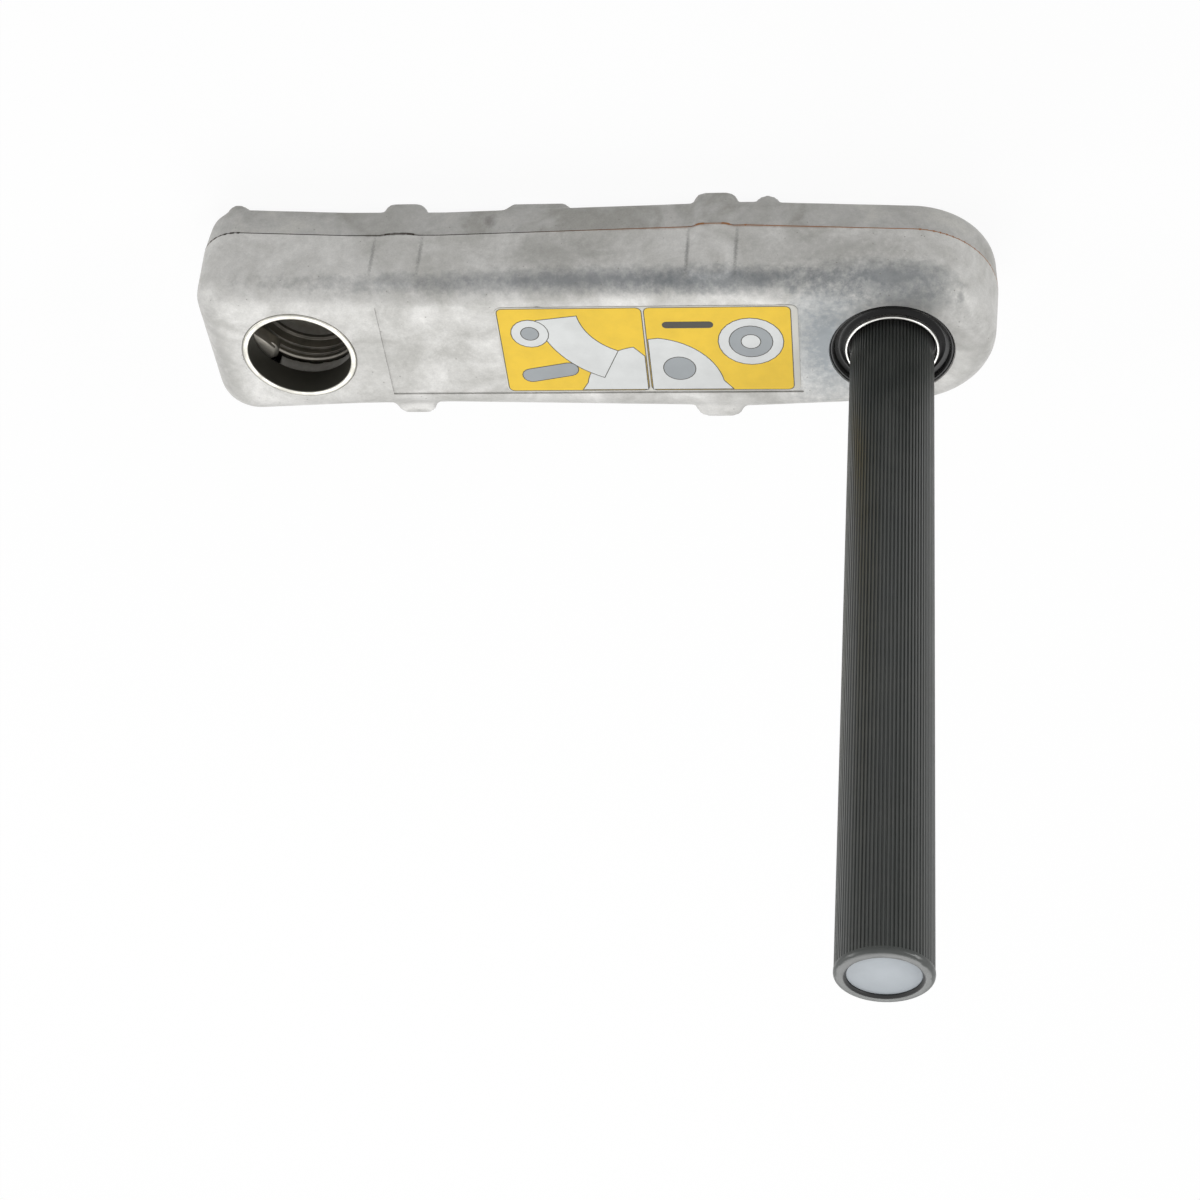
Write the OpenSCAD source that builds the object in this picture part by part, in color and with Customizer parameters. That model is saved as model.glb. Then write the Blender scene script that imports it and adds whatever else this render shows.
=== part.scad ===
// Starting crank for a small engine, with a turning grip that lets go on a kickback.
// Z = 0 is the plane of the feet on its back and the socket's axis is the Z axis.
// +X runs along the arm to the grip and +Z is the side that the grip stands on.

/* [Arm] */
// Distance from the socket axis to the grip axis
arm_l = 200; // [190:1:215]
// Thickness of the closed arm, from the feet to the face
arm_h = 42; // [40:0.5:46]
// Height of the feet on the back
foot_h = 3; // [2:0.5:4]
// Height of the parting seam above the feet
cover_h = 16.2; // [15.6:0.1:16.6]
// Thickness of the sealing sheet in the seam
gasket_t = 0.4; // [0.2:0.1:0.6]
// Width of the arm at the socket
hub_w = 64.8; // [64:0.2:70]
// Width of the arm at its waist
waist_w = 60; // [60:0.5:65]
// Width of the arm at its shoulder, ahead of the grip
shoulder_w = 65.4; // [65:0.2:72]
// Width of the round end under the grip
grip_w = 59.8; // [59.4:0.2:66]
// How far the middle of the arm lies to the side of the two axes
arm_shift = 0.6; // [0:0.1:0.8]
// Distance from the socket axis to the waist
waist_x = 50; // [45:1:60]
// Distance from the grip axis back to the shoulder
shoulder_back = 48; // [40:1:56]
// Distance from the socket axis to the flat end
hub_end = 33.6; // [33:0.2:38]
// Corner radius of the flat end
hub_corner = 14; // [13.5:0.5:18]
// Distance from the grip axis to the round end
grip_end = 35; // [34.4:0.1:38]
// Radius of the rounded edge around the face
face_edge = 9; // [8:0.5:10]
// Radius of the rounded edge around the back
back_edge = 2.5; // [1:0.5:3]
// How far the housing leans in from the seam to the face
face_draft = 0.8; // [0:0.1:1.5]
// How far the cover leans in from the seam to the back
back_draft = 0.6; // [0:0.1:0.8]
// Thickness of the casting walls
wall = 3.4; // [2.6:0.1:3.6]
// Thickness of the face and of the back
skin = 3.5; // [3:0.1:3.6]

/* [Screw bosses] */
// Distance from the socket axis to the first pair
boss_a_x = 36; // [34:0.5:44]
// How far the first pair stands out of the side
boss_a_out = 0.6; // [0.5:0.1:2]
// Distance from the grip axis back to the second pair
boss_b_back = 58.5; // [50:0.5:80]
// How far the second pair stands out of the side
boss_b_out = 1.2; // [0.5:0.1:2.5]
// Width of the bosses along the arm
boss_w = 16; // [14:0.5:20]
// Depth from the face to the bosses' upper ends
boss_drop = 3.5; // [2.5:0.1:6]
// Thread diameter of the cover screws
screw_d = 3; // [2.5:0.5:3]
// Length of the cover screws under the head
screw_l = 20; // [18:1:22]
// Radius of the small round pads on the back, over the other four screws
pad_r = 4.2; // [3.8:0.1:4.6]
// Height of those pads
pad_h = 1.9; // [1:0.1:2.5]

/* [Socket] */
// Bore that takes the engine's starting shaft
bore_d = 35; // [34:0.1:35]
// Wall of the pressed steel sleeve
sleeve_t = 2; // [1.5:0.1:2.2]
// Length of the sleeve
sleeve_l = 10; // [9.5:0.1:11]
// How far the sleeve stands out of the face
sleeve_out = 0.4; // [0.2:0.1:0.6]
// Height of the socket's floor above the feet
floor_z = 17; // [16.6:0.1:17.4]
// Reach of the pawl nose past the bore wall
nose_in = 4.2; // [3:0.1:4.6]

/* [Chain drive] */
// Pitch of the chain
pitch = 6.35; // [6.3:0.01:6.4]
// Height of the middle of the chain above the feet
chain_z = 13.2; // [13:0.1:13.4]

/* [Grip] */
// Height of the grip end above the feet
grip_top = 277.4; // [200:0.1:320]
// Outer diameter of the steel grip tube
tube_d = 25; // [24.9:0.1:25]
// Wall of the grip tube
tube_t = 2.5; // [2.3:0.1:2.8]
// Diameter over the ribs of the grip
grip_d = 27.5; // [27:0.1:28.4]
// Number of ribs round the grip
ribs = 76; // [40:2:80]
// Depth of the grooves between the ribs
rib_depth = 0.45; // [0.3:0.05:0.6]
// Outer diameter of the grip bearing
bearing_d = 42; // [42:0.1:42.6]
// Width of the grip bearing
bearing_b = 9; // [8.5:0.1:9.5]
// Diameter of the black seal in the face
seal_d = 41; // [40:0.1:41.4]
// Diameter of the bright collar that the seal runs on
collar_d = 31; // [30.6:0.1:32]
// Diameter of the plug in the end of the grip
plug_d = 20.8; // [20.4:0.1:22]
// Depth of the plug below the end of the grip
plug_in = 2.5; // [1:0.1:3.5]

/* [Label] */
// Length of the label
label_l = 100; // [60:1:120]
// Width of the label
label_w = 40; // [24:1:40]
// Thickness of the label
label_t = 0.25; // [0.1:0.05:0.35]
// Depth of the flat recess that the label lies in
recess_in = 0.5; // [0.4:0.05:0.8]

/* [Hidden] */
$fn = 48;

// Clearance of the fits that turn
slip = 0.05;

// Levels along Z
back_z = foot_h;
inner_z = foot_h + skin;
shell_z = cover_h + gasket_t;
roof_z = arm_h - skin;
recess_z = arm_h - recess_in;
sleeve_z = arm_h + sleeve_out - sleeve_l;

// Outline of the arm at the seam
hub_cx = hub_corner - hub_end;
hub_cy = hub_w / 2 - hub_corner;
end_r = grip_w / 2;
end_cx = arm_l + grip_end - end_r;
SHOULDER = [arm_l - shoulder_back, shoulder_w / 2];
WAIST = [waist_x, waist_w / 2];
NECK = [waist_x - 33, waist_w / 2 + 0.45];
end_turn = tangent_angle([end_cx, 0], end_r, SHOULDER, -1);
hub_turn = tangent_angle([hub_cx, hub_cy], hub_corner, NECK, 1);

// Screw bosses: each is [x, half width of the arm there, how far it stands out]
boss_b_x = arm_l - boss_b_back;
BOSSES = [[boss_a_x, side_y(boss_a_x), boss_a_out], [boss_b_x, side_y(boss_b_x), boss_b_out]];
boss_corner = 4.5;
boss_depth = 12;
boss_round = 2.5;
foot_round = 1.4;

// Flat feet on the back, halfway along
mid_foot_x = 81.6;
mid_foot_l = 17.6;
mid_foot_slope = 3.5;
mid_foot_depth = 14;

// Cover screws
screw_core_r = screw_d / 2 - 0.25;
screw_hole_r = screw_d / 2 + 0.2;
head_r = screw_d * 0.91;
head_h = screw_d;
pocket_r = head_r + 0.17;
head_z = head_h + 1.3;
column_r = screw_core_r + 1.25;
chain_plate_h = 5.8;
teeth = 21;
wheel_r = pitch / 2 / sin(180 / teeth);
PADS = [[hub_cx - 2.1, hub_cy + 8.8], [arm_l - 41.3, SHOULDER[1] - 4.8]];
boss_screw_in = 5;
SIDE_SCREWS = [PADS[0], PADS[1], [boss_b_x, BOSSES[1][1] + boss_b_out - boss_screw_in]];
RIM_SCREWS = [for (p = SIDE_SCREWS) for (s = [1, -1]) [p[0], arm_shift + s * p[1]]];
mid_screw_back = 102;
MID_SCREWS = [[boss_a_x, 0], [arm_l - mid_screw_back, 0]];
SCREWS = concat(RIM_SCREWS, MID_SCREWS);
dowel_r = 2;
dowel_l = 8;
dowel_in_x = 14;
DOWELS = [[boss_a_x + dowel_in_x, 0], [boss_b_x - dowel_in_x, 0]];
dowel_boss_r = 4.4;
// Bosses between the two strands of the chain: each is [place, radius]
INNER_BOSSES = [for (p = DOWELS) [p, dowel_boss_r], for (p = MID_SCREWS) [p, column_r + 0.7]];

// Socket and mechanism
bore_r = bore_d / 2;
sleeve_r = bore_r + sleeve_t;
hub_boss_r = sleeve_r + 4;
floor_r = bore_r - 1;
floor_edge = 0.8;
ring_play = 0.05;
ring_bore_r = floor_r + ring_play;
ring_thin_r = wheel_r - chain_plate_h / 2 - 0.4;
ring_z = inner_z + 0.1;
pawl_t = 5.1;
pawl_play = 0.4;
pawl_top = sleeve_z - 0.5;
pawl_z = pawl_top - pawl_t;
ring_top = pawl_z - pawl_play;
ring_neck_z = floor_z;
ring_lip_t = 0.8;
ring_socket_r = bore_r + 0.2;
ring_neck_r = ring_socket_r + 1.7;
ring_groove_h = 1.2;
ring_groove_deep = 0.7;
ring_groove_up = 3.8;
ring_groove_down = 2.6;
flange_t = 2.2;
flange_r = ring_neck_r + 2.4;
trip_z = ring_neck_z + ring_lip_t + 0.3;
trip_in_r = ring_neck_r + 0.1;
trip_out_r = trip_in_r + 2.4;
trip_gap = 10;
trip_notch_r = trip_in_r + 0.8;
trip_cut_r = trip_out_r + 8;
mesh_r = trip_out_r - 0.7;
pawl_gap = 5;
pawl_at = 158.8;
PIVOT = [(mesh_r + pawl_gap) * cos(pawl_at), (mesh_r + pawl_gap) * sin(pawl_at)];
eye_r = pawl_gap - 1;
pin_r = 2;
pin_head_r = 3.2;
pin_head_t = 0.7;
eye_z = trip_z - 0.1;
tooth_w = 2.6;
tooth_reach = mesh_r + pawl_gap - trip_notch_r - 0.4;
nose_r = 4.3;
nose_at = 209.5;
NOSE = [(bore_r - nose_in + nose_r) * cos(nose_at), (bore_r - nose_in + nose_r) * sin(nose_at)];
spring_wire = 0.8;
spring_d = 4.6;
spring_turns = 5.5;
spring_gap = 0.1;
seat_out = 0.4;
peg_r = 1.1;
peg_l = 2.5;
end_wall_x = wall - hub_end;

spring_z = (pawl_z + pawl_top) / 2;

// Stiffening ribs inside the arm
rib_y = 8;
rib_t = 2.2;
rib_h = 6;

// Cores in the back of the cover
core_wall = 4;
centre_pad_r = 6;

// Chain
half_turn = teeth / 2;
links = 2 * round((2 * arm_l / pitch + teeth) / 2);
strand = (links - teeth) / 2;
bush_r = 1.65;
rivet_r = 1.15;
plate_t = 0.7;
inner_half = 1.6;
wheel_half = 1.4;
outer_half = inner_half + plate_t + 0.1;
rivet_half = outer_half + plate_t + 0.3;
wheel_tip_r = wheel_r + 1.3;
seat_r = bush_r + 0.1;
grip_phase = 90 - (ceil(strand) - strand) * 360 / teeth;

// Grip and its bearing
tube_r = tube_d / 2;
tube_in_r = tube_r - tube_t;
bearing_r = bearing_d / 2;
seal_r = seal_d / 2;
collar_r = collar_d / 2;
lip_t = 0.9;
seal_h = 3.3;
seal_drop = 0.6;
seal_z = arm_h - seal_drop - seal_h;
bearing_z = seal_z - 0.1 - bearing_b;
bearing_circlip_t = 1.75;
circlip_z = bearing_z - bearing_circlip_t;
bearing_boss_r = bearing_r + 3.4;
bearing_boss_z = circlip_z - 1.6;
ball_r = 2.38;
balls = 14;
race_r = (tube_r + bearing_r) / 2;
race_gap = 0.05;
shoulder = 1.35;
shield_t = 0.8;
cage_w = 6;
cage_t = 1.4;
washer_t = 1;
tube_z = inner_z + washer_t + 0.1;
post_r = 8;
post_top = inner_z + 16.5;
bush_z = tube_z + 1.4;
bush_l = 12;
wheel_circlip_t = 1.2;
wheel_circlip_z = tube_z + 0.6;
wheel_hub_z = wheel_circlip_z + wheel_circlip_t;
wheel_hub_top = chain_z + rivet_half + 0.5;
wheel_hub_r = wheel_r - chain_plate_h / 2 - 0.5;
spacer_r = tube_r + 2.5;
key_w = 4;
key_in = 0.9;
key_out = 1.3;
collar_z = bearing_z + bearing_b;
collar_top = arm_h;
collar_base = 1.5;
grip_z = collar_z + collar_base + 0.2;
grip_r = grip_d / 2;
tube_top = grip_top - plug_in - 1.9;
rim_round = 1.4;
rim_r = grip_r + 0.15;
plug_r = plug_d / 2;
plug_skirt_l = 8;

// Label
label_x = 119.5;
label_y = 1.3;
recess_margin = 0.8;
recess_l_end = 29.6;
label_corner = 2.5;

// Points of a quarter round from the side of a disc of radius r up to its top at height h
function edge_points(r, h, e) = [for (i = [0:6]) [r - e + e * cos(15 * i), h - e + e * sin(15 * i)]];

// Angle on a circle at which the line from point p touches it, on the side given by s
function tangent_angle(c, r, p, s) = atan2(p[1] - c[1], p[0] - c[0]) + s * acos(r / norm(p - c));

// Half width of the arm at x, between the neck and the shoulder
function side_y(x) = lookup(x, [NECK, WAIST, SHOULDER]);

// Outline of the arm moved in by d, counterclockwise from the tip of the round end
function half_outline(d) =
    concat([for (i = [0:20]) let (a = end_turn * i / 20) [end_cx + (end_r - d) * cos(a), (end_r - d) * sin(a)]],
        [for (p = [SHOULDER, WAIST, NECK]) p - [0, d]],
        [for (i = [0:10]) let (a = hub_turn + (180 - hub_turn) * i / 10)
            [hub_cx + (hub_corner - d) * cos(a), hub_cy + (hub_corner - d) * sin(a)]]);
function outline(d) =
    let (h = half_outline(d))
    [for (p = concat(h, [for (i = [len(h) - 1:-1:1]) [h[i][0], -h[i][1]]])) p + [0, arm_shift]];

// Outline of a side boss moved in by d: a block with round corners
function boss_outline(b, d) =
    let (r = boss_corner - d, x = boss_w / 2 - boss_corner, y = b[1] + b[2] - boss_corner, in = boss_depth - boss_corner)
    concat([for (i = [0:5]) [b[0] + x + r * cos(18 * i), y + r * sin(18 * i)]],
        [for (i = [5:10]) [b[0] - x + r * cos(18 * i), y + r * sin(18 * i)]],
        [[b[0] - x - r, y - in], [b[0] + x + r, y - in]]);
function on_side(points, s) =
    [for (i = [0:len(points) - 1]) let (p = points[s > 0 ? i : len(points) - 1 - i]) [p[0], arm_shift + s * p[1]]];

// Levels of a form that leans in and ends in a rounded edge: each is [height, how far in]
function levels(h, e, lean) =
    concat([[0, 0]], [for (i = [0:6]) [h - e + e * sin(15 * i), lean + e - e * cos(15 * i)]]);

// Solid that joins a stack of rings with equal numbers of points
module stack(rings) {
    n = len(rings[0]);
    top = len(rings) - 1;
    polyhedron(
        points = [for (ring = rings) for (p = ring) p],
        faces = concat(
            [[for (j = [0:n - 1]) j]],
            [[for (j = [n - 1:-1:0]) top * n + j]],
            [for (k = [0:top - 1]) for (j = [0:n - 1]) let (m = (j + 1) % n) [k * n + j, (k + 1) * n + j, k * n + m]],
            [for (k = [0:top - 1]) for (j = [0:n - 1]) let (m = (j + 1) % n)
                [(k + 1) * n + j, (k + 1) * n + m, k * n + m]]));
}

// Solid outer form of one half of the arm, from the seam to a rounded edge
module arm_form(h, e, lean) {
    stack([for (l = levels(h, e, lean)) [for (p = outline(l[1])) [p[0], p[1], l[0]]]]);
}

// Bosses that stand out of both sides, with a rounded end at height h
module side_bosses(h, e, lean) {
    for (b = BOSSES) {
        for (s = [-1, 1]) {
            stack([for (l = levels(h, e, lean)) [for (p = on_side(boss_outline(b, l[1]), s)) [p[0], p[1], l[0]]]]);
        }
    }
}

// Hollow inside the arm
module arm_hollow(inset, z, h) {
    translate([0, 0, z]) linear_extrude(h) polygon(outline(inset));
}

// Columns at the rim that the cover screws pass or enter
module rim_columns(z, h) {
    for (p = RIM_SCREWS) translate([p[0], p[1], z]) cylinder(r = column_r, h = h);
}

// Bosses between the strands of the chain for the dowels and the middle screws
module inner_bosses(z, h) {
    for (b = INNER_BOSSES) translate([b[0][0], b[0][1], z]) cylinder(r = b[1], h = h);
}

// Stiffening ribs between the socket and the grip, clear of both chain wheels
module long_ribs(z, h) {
    start = wheel_tip_r + 2;
    for (y = [-rib_y, rib_y]) {
        translate([start, y - rib_t / 2, z]) cube([arm_l - 2 * start, rib_t, h]);
    }
}

module front_housing() {
    color([0.79, 0.79, 0.78])
        difference() {
            union() {
                difference() {
                    union() {
                        translate([0, 0, shell_z]) arm_form(arm_h - shell_z, face_edge, face_draft);
                        translate([0, 0, shell_z])
                            side_bosses(arm_h - boss_drop - shell_z, boss_round, face_draft);
                    }
                    arm_hollow(wall, shell_z - 1, arm_h - face_edge + 1.2 - shell_z + 1);
                    arm_hollow(wall + 3.6, shell_z, roof_z - shell_z);
                }
                translate([0, 0, sleeve_z]) cylinder(r = hub_boss_r, h = roof_z - sleeve_z + 1);
                translate([arm_l, 0, bearing_boss_z]) cylinder(r = bearing_boss_r, h = roof_z - bearing_boss_z + 1);
                translate([PIVOT[0], PIVOT[1], sleeve_z]) cylinder(r = eye_r + 1.4, h = roof_z - sleeve_z + 1);
                translate([end_wall_x - 1, NOSE[1], spring_z]) rotate([0, 90, 0]) cylinder(r = peg_r, h = peg_l + 1);
                long_ribs(roof_z - rib_h, rib_h + 1);
                inner_bosses(shell_z, roof_z - shell_z + 1);
                rim_columns(shell_z, head_z + screw_l + 4 - shell_z);
            }
            translate([0, 0, sleeve_z - 1]) cylinder(r = sleeve_r, h = arm_h - sleeve_z + 2);
            translate([0, 0, arm_h - 0.4]) cylinder(r1 = sleeve_r, r2 = sleeve_r + 0.6, h = 0.6);
            translate([arm_l, 0, bearing_boss_z - 1]) cylinder(r = bearing_r, h = seal_z - 0.1 - bearing_boss_z + 1);
            translate([arm_l, 0, circlip_z]) cylinder(r = bearing_r + 1.25, h = bearing_circlip_t);
            translate([arm_l, 0, seal_z - 1]) cylinder(r = seal_r, h = arm_h - seal_z + 2);
            translate([arm_l, 0, arm_h - 0.5]) cylinder(r1 = seal_r, r2 = seal_r + 0.7, h = 0.7);
            translate([PIVOT[0], PIVOT[1], sleeve_z - 1]) cylinder(r = pin_r, h = roof_z + 1.5 - sleeve_z + 1);
            for (p = SCREWS) translate([p[0], p[1], 0]) cylinder(r = screw_core_r, h = head_z + screw_l + 2);
            for (p = DOWELS) translate([p[0], p[1], 0]) cylinder(r = dowel_r, h = cover_h + dowel_l / 2 + 0.5);
            label_recess();
        }
}

// Shallow flat that is milled into the face for the label
module label_recess() {
    right = label_x + label_l / 2 + recess_margin;
    low = label_y - label_w / 2 - recess_margin;
    high = label_y + label_w / 2 + recess_margin;
    translate([0, 0, recess_z])
        linear_extrude(recess_in + 1)
            polygon([[recess_l_end, low], [right, low], [right, high], [recess_l_end, high]]);
}

module rear_cover() {
    color([0.74, 0.74, 0.73])
        difference() {
            union() {
                difference() {
                    union() {
                        translate([0, 0, cover_h])
                            mirror([0, 0, 1]) {
                                arm_form(cover_h - back_z, back_edge, back_draft);
                                side_bosses(cover_h, foot_round, back_draft);
                            }
                        mid_feet();
                        screw_pads();
                    }
                    arm_hollow(wall, inner_z, cover_h - inner_z + 1);
                }
                cylinder(r = floor_r, h = floor_z - floor_edge);
                translate([0, 0, floor_z - floor_edge]) cylinder(r1 = floor_r, r2 = floor_r - floor_edge, h = floor_edge);
                translate([arm_l, 0, inner_z - 1]) cylinder(r = post_r, h = post_top - inner_z + 1);
                long_ribs(inner_z - 1, rib_h);
                inner_bosses(inner_z - 1, shell_z - inner_z + 1);
                rim_columns(inner_z - 1, cover_h - inner_z + 1);
            }
            difference() {
                translate([0, 0, -1]) cylinder(r = floor_r - core_wall, h = floor_z - core_wall + 1);
                cylinder(r = centre_pad_r, h = floor_z);
                for (a = [45, 135]) rotate(a) translate([-floor_r, -rib_t / 2, 0]) cube([2 * floor_r, rib_t, floor_z]);
            }
            for (p = SCREWS) {
                translate([p[0], p[1], -1]) cylinder(r = screw_hole_r, h = cover_h + 2);
                translate([p[0], p[1], -1]) cylinder(r = pocket_r, h = head_z + 1);
            }
            for (p = DOWELS) translate([p[0], p[1], cover_h - dowel_l / 2 - 0.5]) cylinder(r = dowel_r, h = dowel_l);
        }
}

// Flat feet with sloping ends, flush with the cover's sides
module mid_feet() {
    half = mid_foot_l / 2;
    side = side_y(mid_foot_x) - back_draft - foot_round;
    for (s = [0, 1]) {
        translate([mid_foot_x, arm_shift, 0])
            mirror([0, s, 0])
                translate([0, side, 0]) rotate([90, 0, 0]) linear_extrude(mid_foot_depth)
                    polygon([[-half, 0], [half, 0], [half + mid_foot_slope, back_z + 0.5],
                        [half + mid_foot_slope, back_z + 2], [-half - mid_foot_slope, back_z + 2],
                        [-half - mid_foot_slope, back_z + 0.5]]);
    }
}

// Small round pads over the screws that have no side boss
module screw_pads() {
    for (p = PADS) {
        for (s = [-1, 1]) {
            translate([p[0], arm_shift + s * p[1], back_z - pad_h]) cylinder(r1 = pad_r - 0.5, r2 = pad_r, h = 0.5);
            translate([p[0], arm_shift + s * p[1], back_z - pad_h + 0.5]) cylinder(r = pad_r, h = pad_h + 2);
        }
    }
}

module cover_gasket() {
    color([0.42, 0.27, 0.16])
        translate([0, 0, cover_h])
            linear_extrude(gasket_t)
                difference() {
                    union() {
                        polygon(outline(0.25));
                        for (b = BOSSES) {
                            for (s = [-1, 1]) polygon(on_side(boss_outline(b, 0.25), s));
                        }
                    }
                    difference() {
                        polygon(outline(wall));
                        for (p = RIM_SCREWS) translate(p) circle(column_r);
                    }
                    for (p = RIM_SCREWS) translate(p) circle(screw_hole_r);
                }
}

module cover_screws() {
    color([0.55, 0.56, 0.57])
        for (p = SCREWS) {
            translate([p[0], p[1], head_z])
                difference() {
                    union() {
                        translate([0, 0, -head_h]) cylinder(r = head_r, h = head_h);
                        cylinder(r = screw_core_r - 0.02, h = screw_l);
                    }
                    translate([0, 0, -head_h - 1]) cylinder(r = screw_d * 0.47, h = head_h / 2 + 1, $fn = 6);
                }
        }
}

module dowel_pins() {
    color([0.66, 0.67, 0.68])
        for (p = DOWELS) translate([p[0], p[1], cover_h - dowel_l / 2]) cylinder(r = dowel_r, h = dowel_l);
}

module hub_sleeve() {
    color([0.82, 0.82, 0.8])
        translate([0, 0, sleeve_z])
            rotate_extrude()
                polygon([[bore_r + 0.3, 0], [sleeve_r - 0.4, 0], [sleeve_r, 0.6], [sleeve_r, sleeve_l - 0.3],
                    [sleeve_r - 0.3, sleeve_l], [bore_r + 0.3, sleeve_l], [bore_r, sleeve_l - 0.3], [bore_r, 0.3]]);
}

// Flat toothed disc for the chain, with its tooth spaces turned to an angle
module tooth_disc(phase) {
    translate([0, 0, chain_z - wheel_half])
        linear_extrude(2 * wheel_half)
            difference() {
                circle(wheel_tip_r);
                for (i = [0:teeth - 1]) {
                    rotate(phase + i * 360 / teeth)
                        translate([wheel_r, 0]) {
                            circle(seat_r);
                            polygon([[0, -seat_r], [3, -seat_r - 0.9], [3, seat_r + 0.9], [0, seat_r]]);
                        }
                }
            }
}

module control_ring() {
    color([0.5, 0.5, 0.5])
        difference() {
            union() {
                tooth_disc(90);
                translate([0, 0, ring_z]) cylinder(r = ring_thin_r, h = ring_neck_z - ring_z);
                translate([0, 0, ring_neck_z]) cylinder(r = ring_neck_r, h = ring_top - ring_neck_z);
                translate([0, 0, ring_neck_z]) cylinder(r = ring_neck_r + 1, h = ring_lip_t);
                translate([0, 0, ring_top - flange_t]) cylinder(r = flange_r, h = flange_t);
            }
            translate([0, 0, ring_z - 1]) cylinder(r = ring_bore_r, h = ring_top);
            translate([0, 0, floor_z + 0.2]) cylinder(r = ring_socket_r, h = ring_top);
            for (z = [floor_z + ring_groove_up, ring_top - ring_groove_down]) {
                translate([0, 0, z]) cylinder(r = ring_socket_r + ring_groove_deep, h = ring_groove_h);
            }
            translate([0, 0, ring_top - 0.6]) cylinder(r1 = ring_socket_r, r2 = ring_socket_r + 0.9, h = 0.9);
        }
}

// Split friction ring that carries the pawl out of the socket
module trip_ring() {
    color([0.45, 0.43, 0.4])
        translate([0, 0, trip_z])
            linear_extrude(ring_top - flange_t - 0.4 - trip_z)
                difference() {
                    circle(trip_out_r);
                    circle(trip_in_r);
                    rotate(-trip_gap / 2)
                        polygon([[0, 0], [trip_cut_r, 0], trip_cut_r * [cos(trip_gap), sin(trip_gap)]]);
                    rotate(pawl_at)
                        polygon([[trip_notch_r, -tooth_w / 2 - 0.7], [trip_out_r + 1, -tooth_w / 2 - 0.9],
                            [trip_out_r + 1, tooth_w / 2 + 0.9], [trip_notch_r, tooth_w / 2 + 0.7]]);
                }
}

// Side points of the pawl arm, bowed away from the bore
function along(t, off) = let (d = NOSE - PIVOT, n = norm(d), u = d / n) PIVOT + d * t + off * [-u[1], u[0]];

module pawl() {
    color([0.62, 0.61, 0.58])
        difference() {
            union() {
                translate([PIVOT[0], PIVOT[1], eye_z]) cylinder(r = eye_r, h = pawl_top - eye_z);
                translate([0, 0, pawl_z])
                    linear_extrude(pawl_top - pawl_z)
                        polygon([along(0, 3.4), along(0.45, 1.6), along(0.8, 3.4), along(1, 4), along(1, -4),
                            along(0.75, -2.6), along(0.5, -3.4), along(0.3, -4.6), along(0, -3.6)]);
                translate([NOSE[0], NOSE[1], pawl_z]) cylinder(r = nose_r, h = pawl_top - pawl_z - 1.5);
                translate([NOSE[0], NOSE[1], pawl_top - 1.5]) cylinder(r1 = nose_r, r2 = nose_r - 1.5, h = 1.5);
                translate([NOSE[0] - nose_r - seat_out, NOSE[1], spring_z])
                    rotate([0, 90, 0]) cylinder(r = spring_d / 2, h = nose_r);
                translate([PIVOT[0], PIVOT[1], eye_z])
                    rotate(pawl_at + 180)
                        translate([0, -tooth_w / 2, 0]) cube([tooth_reach, tooth_w, ring_top - flange_t - 0.6 - eye_z]);
            }
            translate([PIVOT[0], PIVOT[1], eye_z - 1]) cylinder(r = pin_r + slip, h = pawl_top);
        }
}

module pawl_pin() {
    color([0.7, 0.7, 0.7])
        translate([PIVOT[0], PIVOT[1], eye_z - 0.1]) {
            cylinder(r = pin_r, h = roof_z + 1 - eye_z);
            translate([0, 0, -pin_head_t]) cylinder(r = pin_head_r, h = pin_head_t);
        }
}

// Closed tube swept along the points of a helix
function helix_point(i, n, r, x0, x1) =
    let (a = 360 * spring_turns * i / n) [x0 + (x1 - x0) * i / n, r * cos(a), r * sin(a)];
function ring_point(i, j, n, r, w, x0, x1) =
    let (p = helix_point(i, n, r, x0, x1), a = 360 * spring_turns * i / n, b = 60 * j)
    p + w * [sin(b), cos(b) * cos(a), cos(b) * sin(a)];

module pawl_spring() {
    x0 = end_wall_x + spring_gap + spring_wire / 2;
    x1 = NOSE[0] - nose_r - seat_out - spring_gap - spring_wire / 2;
    n = spring_turns * 12;
    r = (spring_d - spring_wire) / 2;
    color([0.6, 0.62, 0.66])
        translate([0, NOSE[1], spring_z])
            polyhedron(
                points = [for (i = [0:n]) for (j = [0:5]) ring_point(i, j, n, r, spring_wire / 2, x0, x1)],
                faces = concat(
                    [[for (j = [0:5]) j]],
                    [[for (j = [5:-1:0]) n * 6 + j]],
                    [for (i = [0:n - 1]) for (j = [0:5])
                        [i * 6 + j, (i + 1) * 6 + j, (i + 1) * 6 + (j + 1) % 6, i * 6 + (j + 1) % 6]]));
}

// Centre of joint i of the chain, counted clockwise from the top of the socket's wheel
function joint(i) =
    i < strand ? [arm_l * i / strand, wheel_r] :
    i < strand + half_turn ? let (a = 90 - (i - strand) * 360 / teeth) [arm_l + wheel_r * cos(a), wheel_r * sin(a)] :
    i < 2 * strand + half_turn ? [arm_l - arm_l * (i - strand - half_turn) / strand, -wheel_r] :
    let (a = 270 - (i - 2 * strand - half_turn) * 360 / teeth) [wheel_r * cos(a), wheel_r * sin(a)];

// Plate with two round ends, a waist and two holes
module link_plate(l, hole_r) {
    linear_extrude(plate_t)
        difference() {
            union() {
                circle(chain_plate_h / 2);
                translate([l, 0]) circle(chain_plate_h / 2);
                translate([0, -chain_plate_h * 0.38]) square([l, chain_plate_h * 0.76]);
            }
            if (hole_r > 0) {
                circle(hole_r);
                translate([l, 0]) circle(hole_r);
            }
        }
}

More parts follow.
